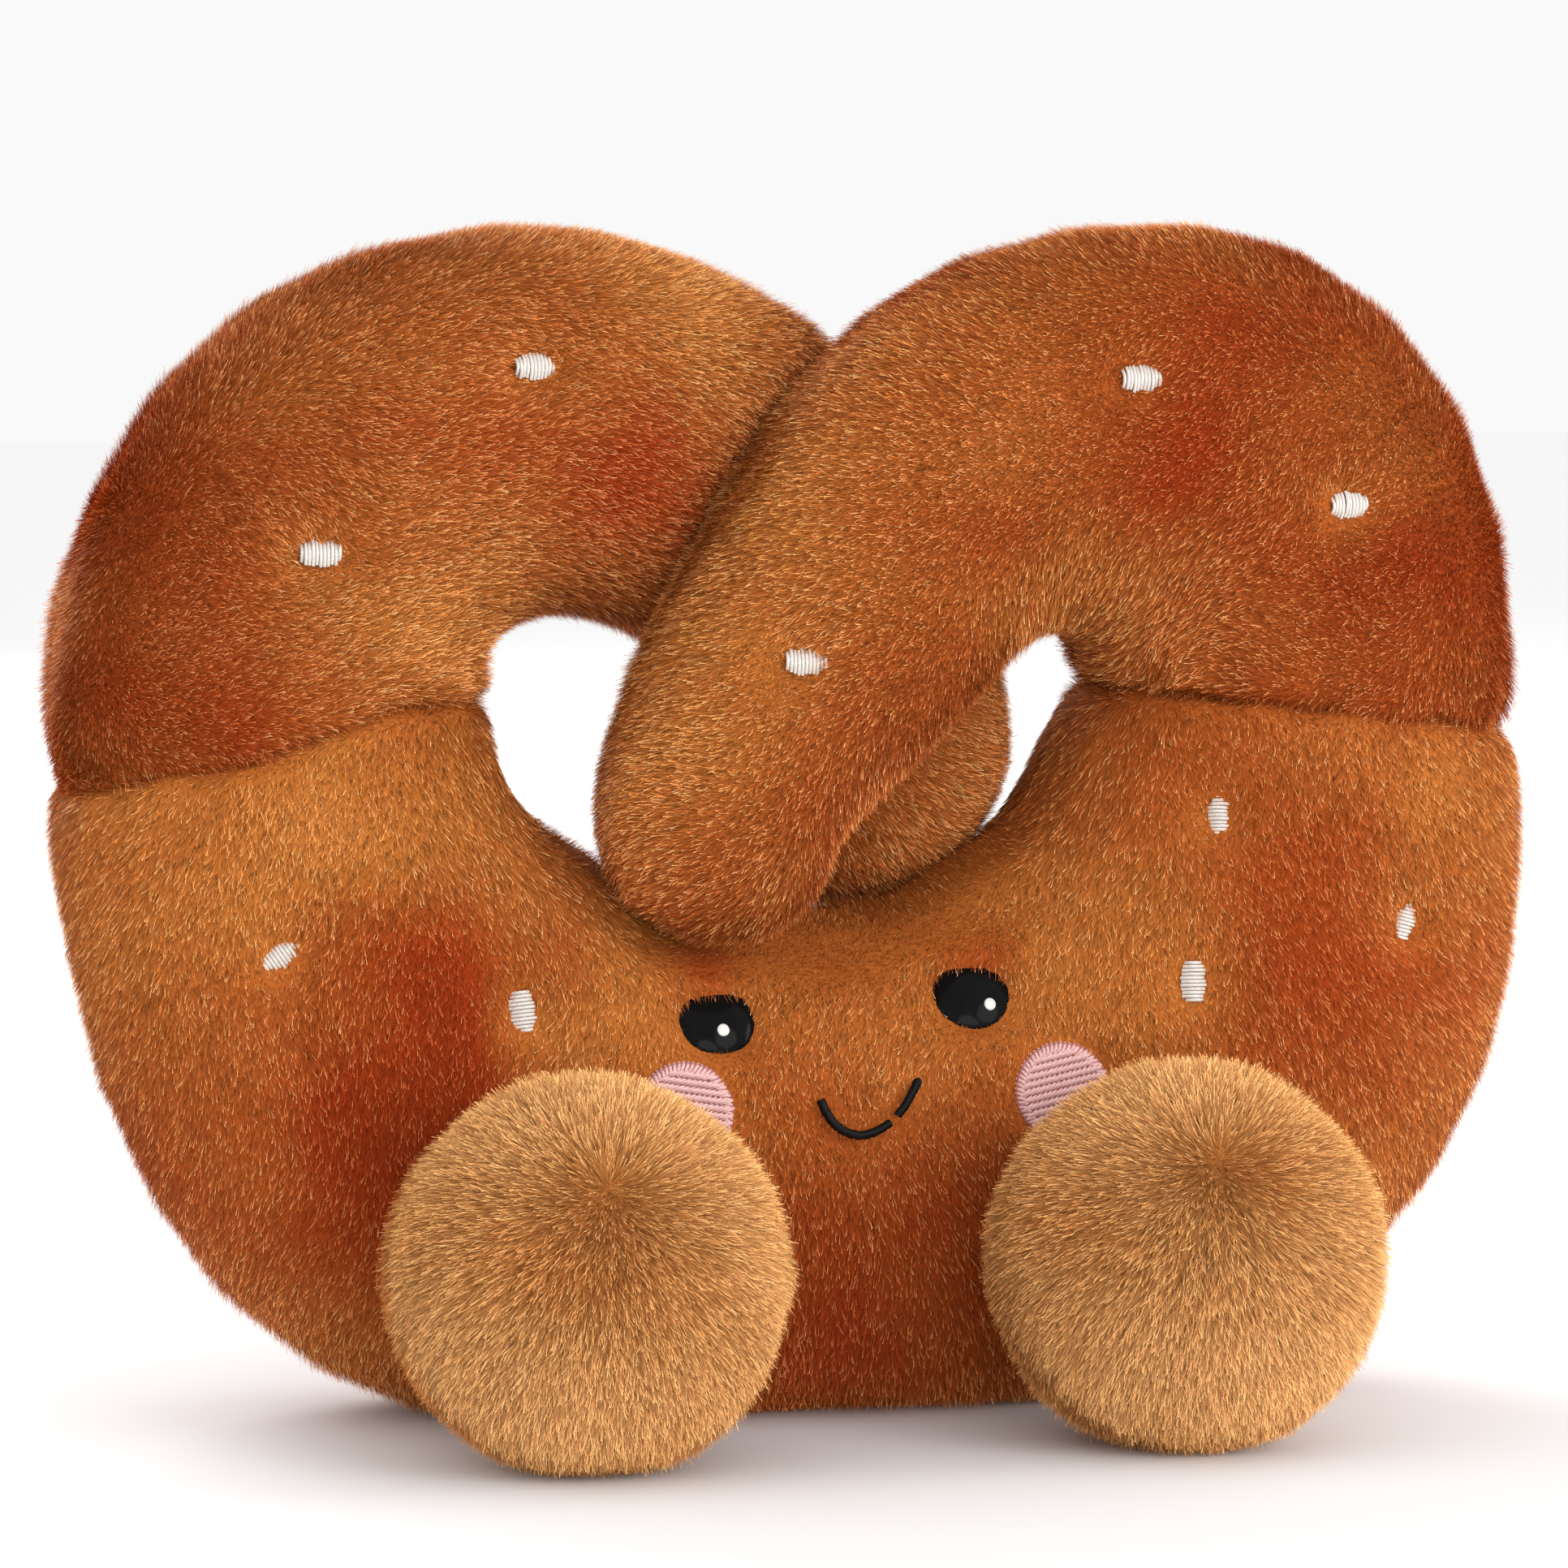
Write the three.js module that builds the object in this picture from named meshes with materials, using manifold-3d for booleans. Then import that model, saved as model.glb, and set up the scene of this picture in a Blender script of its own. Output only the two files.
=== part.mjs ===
// A palm-size plush pretzel that sits on two round feet.
//
// Three stuffed rolls make the twist: a fat lower body, a left loop that runs behind and a right
// loop that crosses in front and rests its tip on the body. Each roll is a front and a back panel
// of plush cloth sewn round a filling. Left and right are as seen from the front.
//
// Millimetres. +Z is up and +X is to the right. The front faces -Y. The origin is on the floor,
// under the middle of the body.

import * as THREE from 'three';
import { mergeVertices } from 'three/addons/utils/BufferGeometryUtils.js';
import Module from 'manifold-3d';

const wasm = await Module();
wasm.setup();

// ---- Driving dimensions -------------------------------------------------------------------------

const CLOTH = 3;              // plush cloth, from its backing to the tips of its pile
const GAP = 0.3;              // clearance between pieces that touch
const FULLNESS = 2.3;         // roundness of a stuffed section: 2 is an ellipse, more is boxier

// Stations along each roll: its outer edge at x, z, its inner edge at x, z, then how far back its
// middle lies and half its depth. The inner edges go round the two holes of the twist.
const BODY = [
  [-65.0, 53.2, -27.4, 61.6, 0, 17.0],
  [-63.2, 41.2, -25.4, 54.7, 0, 17.6],
  [-57.8, 22.7, -21.6, 49.8, 0, 18.2],
  [-47.2, 8.0, -16.8, 46.0, 0, 18.8],
  [-28.0, -1.6, -9.6, 43.6, 0, 19.3],
  [0.0, -2.4, 0.6, 43.0, 0, 19.6],
  [24.0, -2.0, 10.2, 43.8, 0, 19.4],
  [46.8, 6.5, 16.8, 47.0, 0, 19.0],
  [60.5, 21.2, 20.6, 51.2, 0, 18.4],
  [66.0, 39.2, 23.6, 56.6, 0, 17.8],
  [66.2, 56.7, 27.0, 62.2, 0, 17.0],
];
const LEFT_LOOP = [
  [-65.0, 53.2, -27.4, 61.6, 0, 17.0],
  [-65.0, 65.2, -27.0, 63.6, 0.8, 16.8],
  [-61.0, 78.6, -26.0, 65.4, 1.6, 16.5],
  [-50.8, 92.6, -24.4, 66.6, 2.8, 16.2],
  [-36.0, 100.4, -22.0, 67.3, 4.0, 15.9],
  [-19.6, 102.5, -18.4, 67.4, 5.4, 15.6],
  [-5.0, 98.8, -14.2, 66.5, 7.0, 15.2],
  [8.0, 91.0, -9.6, 64.2, 8.8, 14.7],
  [17.0, 78.7, -5.4, 60.0, 10.0, 14.0],
  [22.2, 65.7, -3.2, 55.2, 10.2, 13.2],
  [23.4, 54.0, -2.4, 51.4, 9.4, 12.4],
];
const RIGHT_LOOP = [
  [66.2, 56.7, 27.0, 62.2, 0, 17.0],
  [65.8, 68.2, 26.5, 63.6, -0.6, 16.8],
  [61.9, 83.2, 25.6, 64.6, -1.5, 16.5],
  [53.0, 95.0, 24.6, 65.3, -2.8, 16.2],
  [40.5, 101.8, 23.3, 65.7, -4.2, 15.8],
  [26.0, 102.2, 21.6, 65.8, -5.4, 15.4],
  [12.4, 98.8, 19.2, 65.1, -7.0, 14.9],
  [1.4, 91.4, 15.8, 62.6, -8.8, 14.4],
  [-6.6, 81.2, 11.6, 58.6, -10.4, 13.8],
  [-13.2, 70.6, 7.0, 54.6, -11.6, 13.0],
  [-18.6, 60.6, 3.2, 51.4, -12.4, 12.2],
  [-21.0, 52.8, 1.4, 49.8, -12.8, 11.6],
];

const BODY_SEAM = 4;          // how far the body's side seam lies behind its middle, clear of the seat
const OUTSIDE = { sides: 16, rings: 20 };   // facets of a roll's outside, round it and along it
const INSIDE = { sides: 12, rings: 16 };    // and of the surfaces inside the cloth
const TIP_RINGS = 3;          // of those along it, the ones that round its tip
const STEP = 0.01;            // share of a roll over which its direction is taken
const DEPTH_AXIS = new THREE.Vector3(0, 1, 0);

const FOOT_RADIUS = 16.7;
const FOOT_CENTRES = { left: [-26.3, -36, 15.8], right: [25.2, -36, 15.7] };
const LEG_RADIUS = 11;        // where the leg meets the body
const LEG_LENGTH = 22;        // from inside the body to the middle of the foot
const LEG_DROP = 1.5;         // the leg's root sits this much lower than the foot's middle
const LEG_SPLAY = 1.5;        // and this much nearer to the middle of the toy

const EYE_RADIUS = 3.2;
const EYE_HEIGHT = 2.4;
const EYE_SUNK = 1.3;         // how deep the dome's flat back sits in the pile
const POST_RADIUS = 1.1;
const POST_LENGTH = 6.5;
const WASHER_RADIUS = 4.2;
const WASHER_THICKNESS = 1.2;
const WASHER_SLACK = 0.4;     // room between the cloth and the washer
const EYES = { left: [-9.8, 34.9], right: [13.0, 36.4] };

const CHEEK_RADIUS = 4.2;
const CHEEK_THICKNESS = 0.8;
const CHEEKS = { left: [-13.5, 27.2], right: [19.7, 28.0] };

const SMILE = [[-1.8, 27.9], [-0.5, 25.9], [1.6, 25.1], [4.5, 26.4], [6.6, 29.0]];
const THREAD_RADIUS = 0.45;

const SALT_HALF_LENGTH = 1.8;
const SALT_HALF_WIDTH = 1.2;
const SALT_HALF_THICKNESS = 0.7;
const SALT_SUNK = 0.6;        // how far its middle lies below the tips of the pile
// Centre x, z and turn in degrees from level, on the front of each roll.
const SALTS = {
  left_loop: [[-24.5, 89.6, 0], [-44.3, 74.0, 0]],
  right_loop: [[26.1, 88.8, 0], [46.0, 77.7, 0], [-5.2, 64.8, 0]],
  body: [[34.1, 51.5, 90], [52.1, 41.5, 75], [31.7, 37.1, 90], [-27.0, 36.0, 95], [-47.8, 40.7, 35]],
};

const PELLET_BAG = [15, 9, 7];  // half length, half depth and half height

const BIG = 300;              // larger than the toy, for cutting away everything below the floor

// ---- Materials ----------------------------------------------------------------------------------

const finish = (color, roughness) => () =>
  new THREE.MeshStandardMaterial({ color, roughness, metalness: 0 });
const brownPlush = finish('#a85f24', 0.9);
const tanPlush = finish('#c88a45', 0.9);
const fibre = finish('#e9e6df', 0.95);
const pellets = finish('#d9d4c8', 0.7);
const blackPlastic = finish('#0b0807', 0.1);
const clearPlastic = finish('#e4e4e0', 0.4);
const blackThread = finish('#15100e', 0.7);
const pinkThread = finish('#e9a7a4', 0.55);
const whiteThread = finish('#f4efe8', 0.5);

// ---- Solids and meshes --------------------------------------------------------------------------

function solidOf(source) {
  const geometry = source.clone();
  geometry.deleteAttribute('normal');
  geometry.deleteAttribute('uv');
  const merged = mergeVertices(geometry, 1e-4);
  return new wasm.Manifold(new wasm.Mesh({
    numProp: 3,
    vertProperties: new Float32Array(merged.attributes.position.array),
    triVerts: new Uint32Array(merged.index.array),
  }));
}

function geometryOf(solid) {
  const { vertProperties, triVerts } = solid.getMesh();
  const geometry = new THREE.BufferGeometry();
  geometry.setAttribute('position', new THREE.BufferAttribute(new Float32Array(vertProperties), 3));
  geometry.setIndex(new THREE.BufferAttribute(new Uint32Array(triVerts), 1));
  geometry.computeVertexNormals();
  return geometry;
}

const pretzel = new THREE.Group();

function addPiece(name, solid, material) {
  const mesh = new THREE.Mesh(geometryOf(solid), material());
  mesh.name = name;
  pretzel.add(mesh);
}

// Everything lower than the given height.
function below(height) {
  const box = new THREE.BoxGeometry(BIG, BIG, BIG);
  box.translate(0, 0, height - BIG / 2);
  return solidOf(box);
}

// ---- Stuffed rolls ------------------------------------------------------------------------------

const ROLLS = {
  body: { stations: BODY, roundTip: false, seam: BODY_SEAM },
  left_loop: { stations: LEFT_LOOP, roundTip: true, seam: 0 },
  right_loop: { stations: RIGHT_LOOP, roundTip: true, seam: 0 },
};

// Where one ring of a roll lies: its place along the stations from 0 to 1, the scale of its
// section, and how far it lies beyond that place, as a share of the tip and of the growth.
function ringPlace(ring, rings, roundTip) {
  const last = rings - 1 - (roundTip ? TIP_RINGS : 0);
  if (ring <= 1) return { along: 0, scale: ring, tipShare: 0, growShare: -1 };
  if (ring < last) return { along: (ring - 1) / (last - 1), scale: 1, tipShare: 0, growShare: 0 };
  if (!roundTip) return { along: 1, scale: rings - ring, tipShare: 0, growShare: 1 };
  const turn = (ring - last) / (rings - last) * Math.PI / 2;
  return { along: 1, scale: Math.cos(turn), tipShare: Math.sin(turn), growShare: Math.sin(turn) };
}

// Keeps a depth in front of the seam, behind it, or anywhere. A point in the middle of a flat end
// stays well inside its half.
function keepHalf(deep, half, seam, flatMiddle) {
  const inset = GAP / 2 + (flatMiddle ? CLOTH : 0);
  if (half === 'front') return Math.min(deep, seam - inset);
  if (half === 'back') return Math.max(deep, seam + inset);
  return deep;
}

// A closed roll along its stations. It is a sphere whose rings are moved to the sections of the
// roll: its first pole becomes the flat sewn end, and its last pole a flat end or a round tip.
// grow moves the surface out, or in where it is negative, and endGrow does so for the flat ends.
function roll({ stations, roundTip, seam }, grow, { half = 'whole', endGrow = grow } = {}) {
  const curve = (pick) => new THREE.CatmullRomCurve3(stations.map(pick));
  const outerEdge = curve(([x, z, , , y]) => new THREE.Vector3(x, y, z));
  const innerEdge = curve(([, , x, z, y]) => new THREE.Vector3(x, y, z));
  const depths = curve(([, , , , , depth]) => new THREE.Vector3(depth, 0, 0));
  const middle = (along) => outerEdge.getPoint(along).lerp(innerEdge.getPoint(along), 0.5);
  const bulge = (value) => Math.sign(value) * Math.abs(value) ** (2 / FULLNESS);

  const { sides, rings } = grow < 0 || grow > GAP ? INSIDE : OUTSIDE;
  const sphere = new THREE.SphereGeometry(1, sides, rings);
  const position = sphere.attributes.position;
  const point = new THREE.Vector3();
  for (let i = 0; i < position.count; i++) {
    point.fromBufferAttribute(position, i);
    const ring = Math.round(Math.acos(THREE.MathUtils.clamp(point.y, -1, 1)) / Math.PI * rings);
    const { along, scale, tipShare, growShare } = ringPlace(ring, rings, roundTip);
    const width = outerEdge.getPoint(along).sub(innerEdge.getPoint(along));
    const halfWidth = width.length() / 2;
    const travel = middle(Math.min(along + STEP, 1)).sub(middle(Math.max(along - STEP, 0)));
    travel.setY(0).projectOnPlane(width.normalize()).normalize();
    const widthAxis = DEPTH_AXIS.clone().cross(travel);

    const turn = Math.atan2(point.z, point.x);
    const flatMiddle = ring === 0 || (ring === rings && !roundTip);
    const across = (halfWidth + grow) * bulge(Math.cos(turn)) * scale;
    const halfDepth = depths.getPoint(along).x + grow;
    const deep = keepHalf(halfDepth * bulge(Math.sin(turn)) * scale, half, seam, flatMiddle);
    const beyond = halfWidth * tipShare + (roundTip && ring > 1 ? grow : endGrow) * growShare;
    const place = middle(along).addScaledVector(travel, beyond);
    place.addScaledVector(widthAxis, across).addScaledVector(DEPTH_AXIS, deep);
    position.setXYZ(i, place.x, place.y, place.z);
  }
  return solidOf(sphere).subtract(below(-grow));
}

// ---- Places on the front of a roll --------------------------------------------------------------

const fronts = Object.fromEntries(
  Object.entries(ROLLS).map(([name, shape]) => [name, new THREE.Mesh(geometryOf(roll(shape, 0)))]));

// The point of a roll's front surface at x, z, and the direction that the surface faces there.
function onFront(rollName, x, z) {
  const ray = new THREE.Raycaster(new THREE.Vector3(x, -BIG, z), new THREE.Vector3(0, 1, 0));
  const hit = ray.intersectObject(fronts[rollName])[0];
  return { point: hit.point, normal: hit.face.normal };
}

// Turns a geometry made along +Z to face out of the surface, spins it about that direction, and
// puts its origin on the surface, pushed in by sunk.
function seat(geometry, { point, normal }, sunk, spin = 0) {
  const side = new THREE.Vector3(0, 0, 1).cross(normal).normalize();
  const rise = normal.clone().cross(side);
  const basis = new THREE.Matrix4().makeBasis(side, rise, normal);
  const place = point.clone().addScaledVector(normal, -sunk);
  geometry.rotateZ(THREE.MathUtils.degToRad(spin));
  geometry.applyMatrix4(basis).translate(place.x, place.y, place.z);
  return solidOf(geometry);
}

// ---- Eyes ---------------------------------------------------------------------------------------

// A dome with a post behind it, turned about +Z with its flat back at zero height.
function eyeShape(grow) {
  const outline = [new THREE.Vector2(0, -POST_LENGTH - grow)];
  outline.push(new THREE.Vector2(POST_RADIUS + grow, -POST_LENGTH - grow));
  outline.push(new THREE.Vector2(POST_RADIUS + grow, -grow));
  const steps = 4;
  for (let i = 0; i < steps; i++) {
    const turn = i / steps * Math.PI / 2;
    const height = (EYE_HEIGHT + grow) * Math.sin(turn) - (i === 0 ? grow : 0);
    outline.push(new THREE.Vector2((EYE_RADIUS + grow) * Math.cos(turn), height));
  }
  outline.push(new THREE.Vector2(0, EYE_HEIGHT + grow));
  return new THREE.LatheGeometry(outline, 16).rotateX(Math.PI / 2);
}

// A ring pushed onto the post, behind the cloth.
function washerShape(grow) {
  const front = -(CLOTH - EYE_SUNK) - WASHER_SLACK + grow;
  const back = front - WASHER_THICKNESS - 2 * grow;
  const bore = POST_RADIUS + GAP - grow;
  const rim = WASHER_RADIUS + grow;
  const corners = [[bore, front], [bore, back], [rim, back], [rim, front], [bore, front]];
  const outline = corners.map(([radius, height]) => new THREE.Vector2(radius, height));
  return new THREE.LatheGeometry(outline, 16).rotateX(Math.PI / 2);
}

const eyeAt = (side) => onFront('body', ...EYES[side]);
const eye = (side, grow) => seat(eyeShape(grow), eyeAt(side), EYE_SUNK);
const washer = (side, grow) => seat(washerShape(grow), eyeAt(side), EYE_SUNK);

// ---- Stitching ----------------------------------------------------------------------------------

// A round patch of satin stitches, sunk until only its face shows.
function cheek(side, grow) {
  const disc = new THREE.CylinderGeometry(
    CHEEK_RADIUS + grow, CHEEK_RADIUS + grow, CHEEK_THICKNESS + 2 * grow, 20);
  return seat(disc.rotateX(Math.PI / 2), onFront('body', ...CHEEKS[side]), CHEEK_THICKNESS / 2);
}

// The smile: one thread run along the face.
function smile(grow) {
  const places = SMILE.map(([x, z]) => onFront('body', x, z).point);
  const path = new THREE.CatmullRomCurve3(places);
  const ring = new THREE.Shape().absarc(0, 0, THREAD_RADIUS + grow, 0, 2 * Math.PI);
  return solidOf(new THREE.ExtrudeGeometry(ring, {
    extrudePath: path, steps: 9, curveSegments: 3, bevelEnabled: false,
  }));
}

// A small pad of white stitches that stands for a grain of salt.
function salt(rollName, [x, z, spin], grow) {
  const pad = new THREE.SphereGeometry(1, 10, 4);
  pad.scale(SALT_HALF_LENGTH + grow, SALT_HALF_WIDTH + grow, SALT_HALF_THICKNESS + grow);
  return seat(pad, onFront(rollName, x, z), SALT_SUNK, spin);
}

// Everything that is sunk in the front of a roll, grown by the clearance it needs.
function sunkIn(rollName) {
  const pieces = SALTS[rollName].map((place) => salt(rollName, place, GAP));
  if (rollName === 'body') {
    pieces.push(smile(GAP));
    for (const side of ['left', 'right']) pieces.push(eye(side, GAP), washer(side, GAP), cheek(side, GAP));
  }
  return pieces;
}

// ---- Cloth and filling of the rolls -------------------------------------------------------------

// The rolls that a roll gives way to where they press on each other.
const PRESSED_BY = { body: [], right_loop: ['body'], left_loop: ['body', 'right_loop'] };

// A solid less everything within depth of the rolls that press on it. endGrow is the gap that it
// keeps to their flat ends.
function pressed(solid, rollName, depth, endGrow = GAP) {
  const keepOut = (other) => roll(ROLLS[other], GAP + depth, { endGrow });
  return PRESSED_BY[rollName].reduce((rest, other) => rest.subtract(keepOut(other)), solid);
}

const pelletBag = (() => {
  const bag = new THREE.SphereGeometry(1, 12, 8).scale(...PELLET_BAG);
  return (grow) => {
    const grown = bag.clone().scale(...PELLET_BAG.map((half) => 1 + grow / half));
    grown.translate(0, 0, CLOTH + PELLET_BAG[2] - 2);
    return solidOf(grown).subtract(below(CLOTH + GAP - grow));
  };
})();

for (const [name, shape] of Object.entries(ROLLS)) {
  const sunk = sunkIn(name);
  const cavity = pressed(roll(shape, -CLOTH, { endGrow: GAP }), name, CLOTH, 0);
  for (const half of ['front', 'back']) {
    const outside = pressed(roll(shape, 0).intersect(roll(shape, GAP, { half })), name, 0);
    let panel = outside.subtract(cavity);
    if (half === 'front') panel = sunk.reduce((rest, piece) => rest.subtract(piece), panel);
    addPiece(`${name}_${half}_panel`, panel, brownPlush);
  }
  let stuffing = pressed(roll(shape, -CLOTH - GAP, { endGrow: 0 }), name, CLOTH + 2 * GAP);
  if (name === 'body') stuffing = stuffing.subtract(pelletBag(GAP));
  stuffing = sunk.reduce((rest, piece) => rest.subtract(piece), stuffing);
  addPiece(`${name}_stuffing`, stuffing, fibre);
}
addPiece('body_pellet_bag', pelletBag(0), pellets);

// ---- Feet ---------------------------------------------------------------------------------------

// A pear turned about its axis, from the leg's root to the toe, then laid along the leg.
function foot(side, grow, rootGrow = 0) {
  const [x, y, z] = FOOT_CENTRES[side];
  const toe = new THREE.Vector3(x, y, z);
  const root = new THREE.Vector3(x - Math.sign(x) * LEG_SPLAY, y + LEG_LENGTH, z - LEG_DROP);
  const axis = toe.clone().sub(root);
  const reach = axis.length();
  const outline = [new THREE.Vector2(0, -rootGrow), new THREE.Vector2(LEG_RADIUS + grow, -rootGrow)];
  const steps = 7;
  const start = Math.asin((LEG_RADIUS + 2) / FOOT_RADIUS) - Math.PI;
  for (let i = 0; i <= steps; i++) {
    const turn = start * (1 - i / steps);
    const radius = i === steps ? 0 : -(FOOT_RADIUS + grow) * Math.sin(turn);
    outline.push(new THREE.Vector2(radius, reach + (FOOT_RADIUS + grow) * Math.cos(turn)));
  }
  const pear = new THREE.LatheGeometry(outline, OUTSIDE.sides);
  pear.applyQuaternion(new THREE.Quaternion().setFromUnitVectors(
    new THREE.Vector3(0, 1, 0), axis.normalize()));
  pear.translate(root.x, root.y, root.z);
  return solidOf(pear).subtract(below(-grow));
}

for (const side of ['left', 'right']) {
  const bodyKeepOut = roll(ROLLS.body, GAP);
  const cover = foot(side, 0).subtract(bodyKeepOut).subtract(foot(side, -CLOTH, CLOTH));
  addPiece(`${side}_foot_cover`, cover, tanPlush);
  addPiece(`${side}_foot_pellets`, foot(side, -CLOTH - GAP).subtract(bodyKeepOut), pellets);
}

// ---- Face and salt ------------------------------------------------------------------------------

for (const side of ['left', 'right']) {
  addPiece(`${side}_eye`, eye(side, 0), blackPlastic);
  addPiece(`${side}_eye_washer`, washer(side, 0), clearPlastic);
  addPiece(`${side}_cheek_stitching`, cheek(side, 0), pinkThread);
}
addPiece('smile_stitching', smile(0), blackThread);

for (const [rollName, places] of Object.entries(SALTS)) {
  places.forEach((place, i) => {
    addPiece(`${rollName}_salt_${i + 1}`, salt(rollName, place, 0), whiteThread);
  });
}

export default pretzel;
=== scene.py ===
"""A palm-size plush pretzel toy: stuffed rolls under combed pile, stitched face and bead eyes.

Everything is in metres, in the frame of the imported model. The face looks along -Y and +Z is up.
"""

import math

import bmesh
import bpy
import numpy as np
from bpy.props import FloatProperty, FloatVectorProperty, IntProperty, PointerProperty
from mathutils import Matrix, Vector
from mathutils.bvhtree import BVHTree


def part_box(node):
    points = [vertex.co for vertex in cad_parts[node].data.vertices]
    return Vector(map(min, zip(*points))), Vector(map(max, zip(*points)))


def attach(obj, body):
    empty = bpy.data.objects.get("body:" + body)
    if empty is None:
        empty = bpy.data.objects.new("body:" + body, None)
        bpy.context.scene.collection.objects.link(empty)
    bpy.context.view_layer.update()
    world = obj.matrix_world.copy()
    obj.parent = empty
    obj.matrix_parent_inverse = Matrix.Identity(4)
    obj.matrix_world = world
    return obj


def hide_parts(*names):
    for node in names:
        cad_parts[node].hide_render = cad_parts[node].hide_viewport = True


bl_info = {
    "name": "Plush Pretzel Toy",
    "version": (1, 0, 0),
    "blender": (4, 5, 0),
    "location": "3D View > Sidebar > Plush Pretzel",
    "description": "Builds a stuffed plush pretzel with combed pile, stitching and bead eyes",
    "category": "Add Mesh",
}

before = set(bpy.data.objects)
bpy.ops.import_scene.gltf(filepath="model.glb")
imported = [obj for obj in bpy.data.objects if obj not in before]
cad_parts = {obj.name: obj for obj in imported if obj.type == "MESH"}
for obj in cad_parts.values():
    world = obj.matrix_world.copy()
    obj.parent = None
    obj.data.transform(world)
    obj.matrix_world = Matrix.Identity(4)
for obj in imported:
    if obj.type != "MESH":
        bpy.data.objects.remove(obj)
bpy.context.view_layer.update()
MM = 0.001

# The stuffed pieces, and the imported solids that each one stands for.
ROLLS = {
    "body": ("body_front_panel", "body_back_panel", "body_stuffing"),
    "left_loop": ("left_loop_front_panel", "left_loop_back_panel", "left_loop_stuffing"),
    "right_loop": ("right_loop_front_panel", "right_loop_back_panel", "right_loop_stuffing"),
}
FEET = {
    "left_foot": ("left_foot_cover", "left_foot_pellets"),
    "right_foot": ("right_foot_cover", "right_foot_pellets"),
}
# The loops are sewn to the body further out than this, and the sewn ends are tucked into each other.
SEWN_OUTSIDE = 28 * MM
SEAM_TUCK = 1.2 * MM
# A point belongs to a sewn end where the other roll is this near and faces back at it.
SEAM_REACH = 3 * MM
FACES_BACK = -0.6


# ---- Settings -----------------------------------------------------------------------------------


class PlushClothSettings(bpy.types.PropertyGroup):
    """The stuffed rolls and feet under the pile."""

    body_depth: FloatProperty(
        name="Body Backing", description="How far the body's backing lies below its surface",
        default=0.15 * MM, subtype="DISTANCE")
    loop_depth: FloatProperty(
        name="Loop Backing", description="How far the loops' backing lies below their surface",
        default=0.7 * MM, subtype="DISTANCE")
    foot_depth: FloatProperty(
        name="Foot Backing", description="How far the feet's backing lies below their surface",
        default=0.7 * MM, subtype="DISTANCE")
    voxel: FloatProperty(
        name="Cloth Mesh", description="Face size of the cloth that is blown up",
        default=2.6 * MM, subtype="DISTANCE")
    pressure: FloatProperty(
        name="Stuffing Pressure", description="How hard the stuffing pushes on the cloth",
        default=4.0)
    most_swell: FloatProperty(
        name="Most Swell", description="The furthest that a point of the cloth may move",
        default=0.8 * MM, subtype="DISTANCE")


class PlushPileSettings(bpy.types.PropertyGroup):
    """The hairs of the plush cloth."""

    body_length: FloatProperty(
        name="Body Pile", description="Length of the hairs on the body and the loops",
        default=1.2 * MM, subtype="DISTANCE")
    foot_length: FloatProperty(
        name="Foot Pile", description="Length of the hairs on the feet",
        default=1.7 * MM, subtype="DISTANCE")
    hair_width: FloatProperty(
        name="Hair Width", description="Width of one hair at its root",
        default=0.074 * MM, subtype="DISTANCE")
    lift: FloatProperty(
        name="Lift", description="How steeply the hairs stand", default=1.0, min=0, max=2)
    stray: FloatProperty(
        name="Stray", description="How far single hairs stray from the comb", default=0.5, min=0)
    lock_size: FloatProperty(
        name="Lock Size", description="Width of the locks that hairs gather in",
        default=0.45 * MM, subtype="DISTANCE")
    lock_pull: FloatProperty(
        name="Lock Pull", description="How far tips move to the middle of their lock",
        default=0.6, min=0, max=1)
    hairs: IntProperty(
        name="Hairs per Piece", description="Hairs in one piece of pile", default=190000)
    seed: IntProperty(name="Seed", description="Start of every random draw", default=11)
    tan: FloatVectorProperty(
        name="Tan", description="Colour of the lighter hairs", subtype="COLOR",
        default=(0.74, 0.275, 0.062))
    rust: FloatVectorProperty(
        name="Rust", description="Colour of the airbrushed patches", subtype="COLOR",
        default=(0.50, 0.068, 0.012))
    foot_tan: FloatVectorProperty(
        name="Foot Tan", description="Colour of the hairs on the feet", subtype="COLOR",
        default=(0.64, 0.285, 0.088))
    foot_rust: FloatVectorProperty(
        name="Foot Rust", description="Colour of the airbrushed patches on the feet",
        subtype="COLOR", default=(0.60, 0.145, 0.020))


class PlushStageSettings(bpy.types.PropertyGroup):
    """The camera, lights and floor."""

    lens: FloatProperty(
        name="Lens", description="Focal length of the camera", default=185.0, subtype="DISTANCE_CAMERA")
    view_width: FloatProperty(
        name="View Width", description="Width of the view at the toy", default=0.136,
        subtype="DISTANCE")
    azimuth: FloatProperty(
        name="Azimuth", description="Turn of the camera round the toy", default=math.radians(-15),
        subtype="ANGLE")
    elevation: FloatProperty(
        name="Elevation", description="Height of the camera above the horizon",
        default=math.radians(4), subtype="ANGLE")


class PlushSettings(bpy.types.PropertyGroup):
    """All settings of the toy."""

    cloth: PointerProperty(type=PlushClothSettings)
    pile: PointerProperty(type=PlushPileSettings)
    stage: PointerProperty(type=PlushStageSettings)


# ---- Helpers ------------------------------------------------------------------------------------


def link(obj):
    """Adds an object to the scene and returns it."""
    bpy.context.scene.collection.objects.link(obj)
    return obj


def new_object(name, mesh):
    """A new object of this mesh, in the scene."""
    mesh.name = name
    return link(bpy.data.objects.new(name, mesh))


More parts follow.
